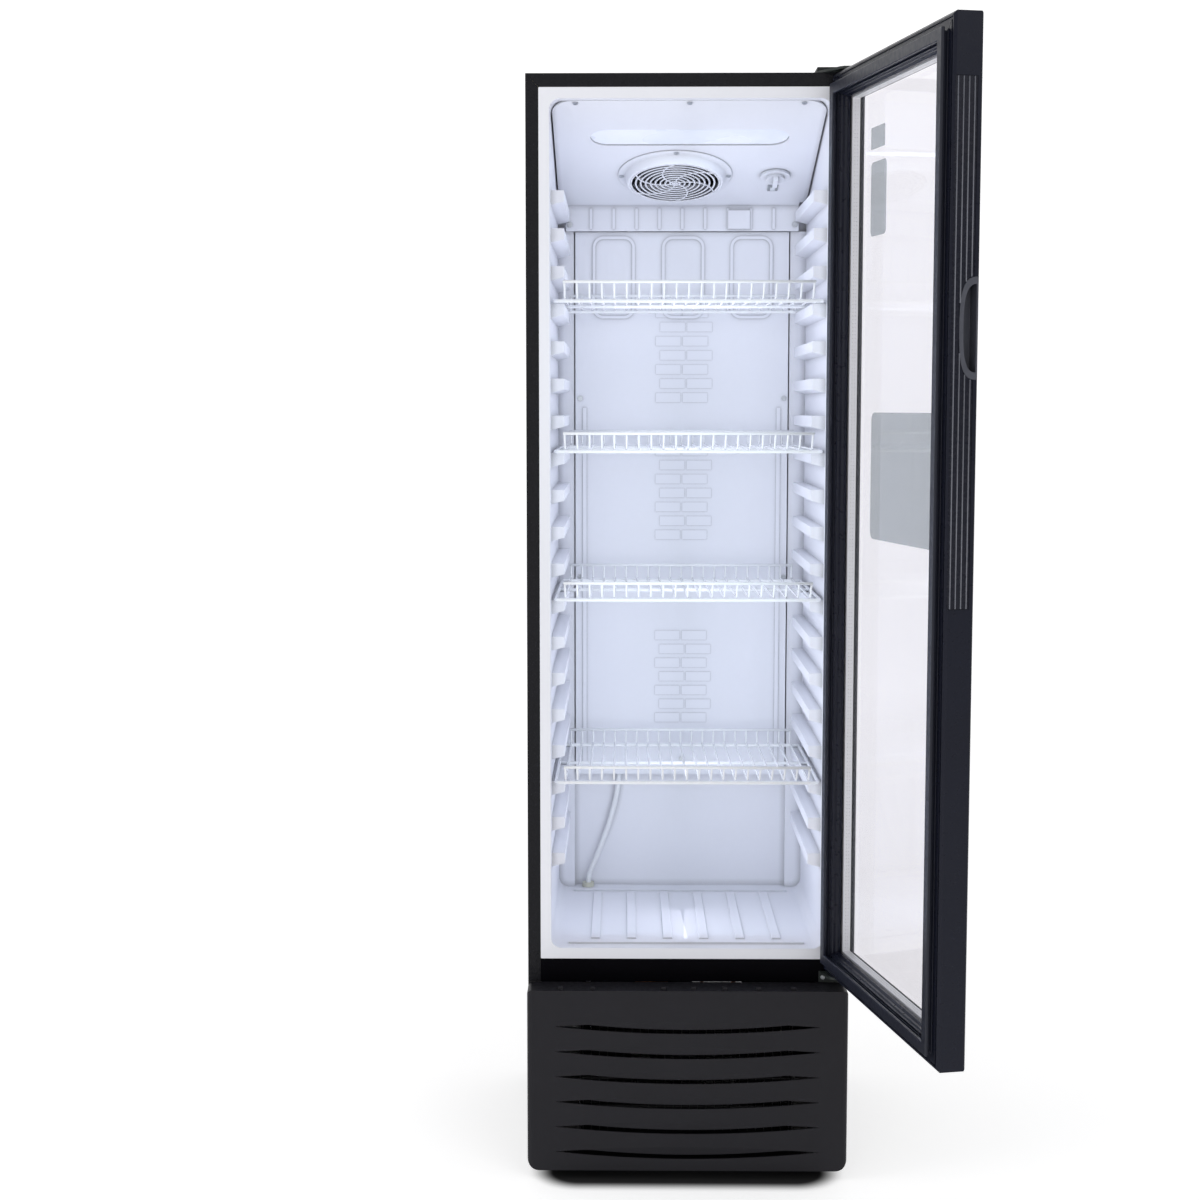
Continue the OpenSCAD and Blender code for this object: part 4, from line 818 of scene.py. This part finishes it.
def floor():
    """A plain pale floor that turns up into a pale wall far behind, with a painted shadow under the cabinet."""
    reach = 14.0
    behind = 9.0
    wall_top = 9.0
    bend = 3.0
    bend_steps = 12
    profile = [(-reach, 0.0), (behind - bend, 0.0)]
    for k in range(1, bend_steps + 1):
        turn = math.radians(90 * k / bend_steps)
        profile.append((behind - bend + bend * math.sin(turn), bend - bend * math.cos(turn)))
    profile.append((behind, wall_top))
    verts = [(x, y, z) for x in (-reach, reach) for y, z in profile]
    count = len(profile)
    faces = [[i, i + 1, count + i + 1, count + i] for i in range(count - 1)]
    mesh = bpy.data.meshes.new("floor")
    mesh.from_pydata(verts, [], faces)
    for face in mesh.polygons:
        face.use_smooth = True
    obj = bpy.data.objects.new("floor", mesh)
    bpy.context.scene.collection.objects.link(obj)
    s = Shader("floor_white")
    open_floor = away_from_base(s)
    diffuse = s.add("ShaderNodeBsdfDiffuse")
    paint = s.add("ShaderNodeMix", data_type="RGBA")
    s.join(open_floor, paint.inputs["Factor"])
    # Painted shadow: the floor's colour is near-black under the cabinet and pale away from it.
    paint.inputs["A"].default_value = (0.035, 0.035, 0.036, 1)
    s.join(s.ramp(s.noise(1.2), (0.8, 0.8, 0.805, 1), (0.83, 0.83, 0.835, 1)), paint.inputs["B"])
    s.join(paint.outputs["Result"], diffuse.inputs["Color"])
    glow = s.add("ShaderNodeEmission")
    s.join(s.maths("MULTIPLY", open_floor, FLOOR_GLOW), glow.inputs["Strength"])
    both = s.add("ShaderNodeAddShader")
    s.join(diffuse.outputs["BSDF"], both.inputs[0])
    s.join(glow.outputs["Emission"], both.inputs[1])
    s.join(both.outputs["Shader"], s.output.inputs["Surface"])
    mesh.materials.append(s.material)


def away_from_base(s):
    """0 under the cabinet and 1 away from it: the mask for the painted shadow under the cabinet, where the floor
    also doesn't glow.
    """
    axes = s.add("ShaderNodeSeparateXYZ")
    s.join(s.coords, axes.inputs["Vector"])

    across = s.maths("ABSOLUTE", s.maths("SUBTRACT", axes.outputs["X"], FRONT.x))
    across = s.maths("SUBTRACT", across, FOOTPRINT_HALF)
    middle = FRONT.y + mid(-FOOTPRINT_FRONT, FOOTPRINT_BACK)
    along = s.maths("ABSOLUTE", s.maths("SUBTRACT", axes.outputs["Y"], middle))
    along = s.maths("SUBTRACT", along, (FOOTPRINT_FRONT + FOOTPRINT_BACK) / 2)
    corner = [s.maths("MAXIMUM", s.maths("ADD", d, FOOTPRINT_ROUND), 0.0) for d in (across, along)]
    squares = [s.maths("MULTIPLY", d, d) for d in corner]
    reach = s.maths("SQRT", s.maths("ADD", *squares))
    outside = s.maths("SUBTRACT", reach, FOOTPRINT_ROUND)
    fade = s.add("ShaderNodeMapRange", interpolation_type="SMOOTHSTEP")
    fade.inputs["From Min"].default_value = -FADE_INSIDE
    fade.inputs["From Max"].default_value = FADE_OUTSIDE
    s.join(outside, fade.inputs["Value"])
    return fade.outputs["Result"]


def area_light(name, place, target, size, watts, colour=(1, 1, 1), size_y=None, mirrored=True):
    """A rectangular light, placed and aimed from FRONT, that glossy faces mirror only when told to."""
    place = FRONT + Vector(place)
    light = bpy.data.lights.new(name, "AREA")
    light.shape = "RECTANGLE"
    light.size = size
    light.size_y = size_y or size
    light.energy = watts
    light.color = colour
    obj = bpy.data.objects.new(name, light)
    obj.location = place
    obj.rotation_euler = (FRONT + Vector(target) - place).to_track_quat("-Z", "Y").to_euler()
    obj.visible_camera = False
    obj.visible_glossy = mirrored
    bpy.context.scene.collection.objects.link(obj)


COOL_WHITE = (0.63, 0.83, 1.0)
PALE_VIOLET = (0.86, 0.87, 1.0)
WORLD_SHOWN = 1.0
WORLD_CAST = 0.45


def lights():
    """Soft studio lights in front, a lamp under the ceiling cover and faint fills inside the cabinet."""
    area_light("key", (1.9, -3.4, 3.4), (0.0, 0.0, 0.9), 2.4, 24)
    area_light("front_fill", (-0.9, -4.6, 2.0), (0.0, 0.2, 0.9), 2.4, 22, size_y=2.8)
    area_light("left_fill", (-3.2, -1.0, 2.0), (0.0, 0.2, 0.9), 2.0, 18)
    lamp = middle_of("lamp_lens") - FRONT
    lamp_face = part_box("lamp_lens")[0].z - 0.012
    area_light("cabinet_lamp", (lamp.x, lamp.y - 0.01, lamp_face), (0.0, 0.16, 0.4), 0.3, 0.12,
               COOL_WHITE, 0.05)
    area_light("opening_fill", (0.0, -0.006, 0.94), (0.0, 0.4, 1.0), 0.38, 0.49, COOL_WHITE, 1.1)
    for side in (-1, 1):
        area_light("wall_fill", (0.0, 0.16, 1.0), (side, 0.12, 1.0), 0.2, 0.66, PALE_VIOLET, 1.3, False)
    area_light("ceiling_fill", (0.0, 0.14, 1.38), (0.0, 0.18, 1.8), 0.3, 0.19, PALE_VIOLET, 0.2, False)


def studio_world():
    """White all round: bright where the camera sees it, dimmer as a light."""
    world = bpy.data.worlds.new("studio")
    world.use_nodes = True
    tree = world.node_tree
    tree.nodes.clear()
    out = tree.nodes.new("ShaderNodeOutputWorld")
    shown = tree.nodes.new("ShaderNodeBackground")
    shown.inputs["Strength"].default_value = WORLD_SHOWN
    cast = tree.nodes.new("ShaderNodeBackground")
    cast.inputs["Strength"].default_value = WORLD_CAST
    path = tree.nodes.new("ShaderNodeLightPath")
    mix = tree.nodes.new("ShaderNodeMixShader")
    for background in (shown, cast):
        background.inputs["Color"].default_value = (1, 1, 1, 1)
    tree.links.new(path.outputs["Is Camera Ray"], mix.inputs["Fac"])
    tree.links.new(cast.outputs["Background"], mix.inputs[1])
    tree.links.new(shown.outputs["Background"], mix.inputs[2])
    tree.links.new(mix.outputs["Shader"], out.inputs["Surface"])
    bpy.context.scene.world = world


def camera():
    """In front of the cabinet at about chest height, looking a little down; its place is from FRONT."""
    data = bpy.data.cameras.new("camera")
    data.sensor_width = 36.0
    data.lens = 59.48
    obj = bpy.data.objects.new("camera", data)
    obj.location = FRONT + Vector((-0.1081, -3.2699, 1.2887))
    obj.rotation_euler = (math.radians(90 - 5.523), 0, math.radians(0.670))
    bpy.context.scene.collection.objects.link(obj)
    bpy.context.scene.camera = obj
    bpy.context.scene.view_settings.view_transform = "Standard"
    bpy.context.scene.view_settings.look = "None"


dress_cad_nodes()
for number in (1, 2, 3, 4):
    shelf(f"shelf_{number}")
drain_hose()
power_cord()
fan_grille()
gasket()
spacer_holes()
edge_beads()
floor()
lights()
studio_world()
camera()
